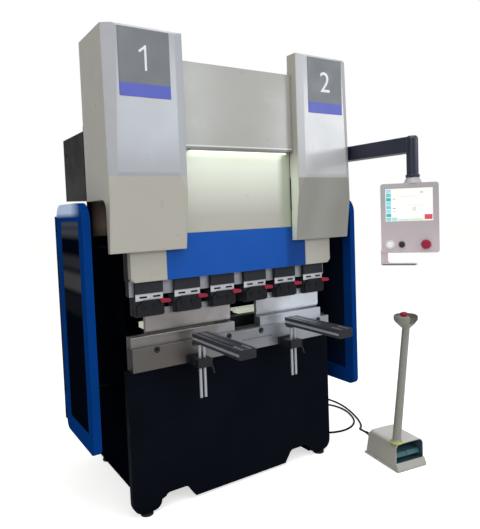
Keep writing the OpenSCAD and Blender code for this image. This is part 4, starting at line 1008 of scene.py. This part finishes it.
def guardTones(tree, spot, colour):  # a dark pane, painted shade of the inside seen through it; grey bands in the left one, painted reflection and parts seen through it; a painted highlight on the top rail
    s = guardTone
    x, y, z = axes(tree, spot)
    flat = spread(tree, calc(tree, "ABSOLUTE", axes(tree, faceNormal(tree))[0]), *s["flat"])
    fromMiddle = calc(tree, "ABSOLUTE", calc(tree, "SUBTRACT", x, machineShift.x))
    rail = both(tree, flat, spread(tree, z, *s["rail"]), spread(tree, y, *s["railDepth"]))
    colour = mixed(tree, rail, colour, s["railHighlight"])
    rightPane = mixed(tree, spread(tree, z, *s["low"]), s["rightGlass"], s["lowGlass"])
    pane = mixed(tree, spread(tree, x, *s["right"]), s["leftGlass"], rightPane)
    for low, high, code in s["bands"]:
        band = both(tree, spread(tree, x, *s["left"]), between(tree, z, low, high, s["bandEdge"]))
        pane = mixed(tree, band, pane, code)
    return mixed(tree, both(tree, flat, between(tree, fromMiddle, *s["pane"])), colour, pane)


lampTone = {"lens": (1.8862, 1.8846), "housing": "8f9086", "power": (-0.2, 0.3, 0.9, 2.8)}


def lampGlow(mat):  # shines down and back onto the ram, little to the front, below a dull housing
    s = lampTone
    tree = mat.node_tree
    shader = shaderOf(tree)
    spot = [n for n in tree.nodes if n.type == "TEX_COORD"][0].outputs["Object"]
    lens = spread(tree, axes(tree, spot)[2], *s["lens"])
    tree.links.new(both(tree, lens, looking(tree, "Y", *s["power"])), shader.inputs["Emission Strength"])
    plain = shader.inputs["Base Color"].links[0].from_socket
    tree.links.new(mixed(tree, lens, s["housing"], plain), shader.inputs["Base Color"])
    return mat


dress(painted("sideFramePaint", navyPaint, frameTones), "side_frames")
dress(painted("navyFramePaint", navyPaint), "base_front", "cross_ties", "guard_posts")
dress(painted("beigeCoverPaint", beigePaint, coverTones), "column_cover_left", "column_cover_right")
dress(painted("ramCreamPaint", beigePaint), "ram_panel_ends")
# the centre cover's beige is made darker than the columns': painted shade
dress(painted("centreCoverPaint", dict(beigePaint, colour="a3a29c", shade="9f9e98", coat=0.45), lipTones),
      "centre_cover")
dress(painted("ramUpperPaint", beigePaint, fading(*sheetFades)), "ram_panel_upper")
dress(painted("ramBluePaint", ramBluePaint, fading(*blueFades)), "ram_panel_centre")
dress(painted("guardBluePaint", dict(ramBluePaint, colour="073a82", shade="063577", specular=0.0), guardTones),
      "guard_left", "guard_right")
dress(painted("cabinetPaint", cabinetPaint, fading(*cabinetFades)), "cabinet_body", "cabinet_door")
dress(painted("clampPaint", dict(blackPaint, colour="2a2b30", shade="323338", specular=0.15), clampTones),
      "clamp_bodies")
dress(painted("clampPlatePaint", dict(blackPaint, colour="17181c", shade="1f2024", specular=0.15)),
      "clamp_plates")
dress(painted("leverPaint", dict(blackPaint, colour="a31f3f", shade="8e1a36", worn="d9788c", rough=0.35)),
      *["clamp_lever_%d" % i for i in range(1, 7)])
dress(painted("bracketPaint", dict(blackPaint, colour="15161b", shade="1b1c22")), "arm_brackets")
dress(painted("mountPaint", dict(blackPaint, colour="33363d", shade="3b3e46")), "drive_mounts")
dress(painted("motorPaint", dict(blackPaint, colour="1d1f24", shade="25272c", peel=0.3)), "servo_motors")
dress(painted("pendantNavyPaint", pendantNavy), "pendant_bracket", "pendant_beam")
dress(painted("pendantShellPaint", pendantShell, fading(*boxFades)), "pendant_box")
dress(painted("castCreamPaint", castCream, pedalTones), "pedal_housing")
dress(steel("bedSteel", bedSteel), "bed_plate")
dress(steel("toolSteel", toolSteel), "punches")
dress(steel("dieSteel", dict(toolSteel, colour="8a8584", shade="7c7776", dull="6b6665", bright="cdd3dd")),
      "dies")
dress(steel("slideSteel", slideSteel),
      "ram_guide_rails", "gauge_rails", "ball_screw_left", "ball_screw_right")
# the gauge fingers' glow is painted light; they are no lamp
dress(moulded("gaugeBarPaint", {"colour": "e6ecdd", "shade": "dbe2d1", "rough": 0.4, "bump": 0.1,
                                "glow": 0.45, "glowColour": "e9f2dc"}),
      "gauge_finger_left", "gauge_finger_right")
dress(steel("ramSteel", ramSteel, ramTones), "ram_plate")
dress(steel("carriageSteel", ramSteel), "ram_carriages")
dress(steel("pulleyAluminium", aluminium), "motor_pulley_left", "motor_pulley_right")
dress(steel("screwSteel", dict(darkSteel, colour="121316", shade="18191c", edgeColour="3a3b3e")),
      "bed_screws")
dress(steel("darkSteel", darkSteel), "levelling_feet", "die_key", "cable_gland", "gauge_beam",
      "arm_lever_left", "arm_lever_right")
dress(steel("armProfile", dict(darkSteel, colour="42464c", shade="4b4f56", lines=(12, 1, 12), rough=0.36,
                               metallic=0.5), armTones), "support_arm_left", "support_arm_right")
dress(moulded("beltRubber", {"colour": "17171a", "shade": "1f1f22", "rough": 0.6}), "drive_belts")
dress(lampGlow(moulded("lampGlass", {"colour": "e9eddc", "shade": "e3e8d6", "rough": 0.3, "glow": 1.0,
                                     "glowColour": "f0ffdc"})), "work_lamp")
dress(moulded("startWhite", {"colour": "f8f8f8", "shade": "f2f2f2", "rough": 0.25, "glow": 0.12}),
      "start_button")
dress(moulded("selectorBlack", {"colour": "2a272d", "shade": "332f36", "rough": 0.4}), "selector_knob")
dress(moulded("stopCrimson", {"colour": "a3203f", "shade": "8f1a37", "rough": 0.25, "worn": "d0647c"}),
      "pendant_stop", "pedal_stop")
dress(moulded("treadleTeal", {"colour": "47727c", "shade": "4f7b85", "rough": 0.5, "grainScale": 260,
                              "bump": 0.3}), "treadle_left", "treadle_right")
print("finishes on", len(cadNodes), "nodes")
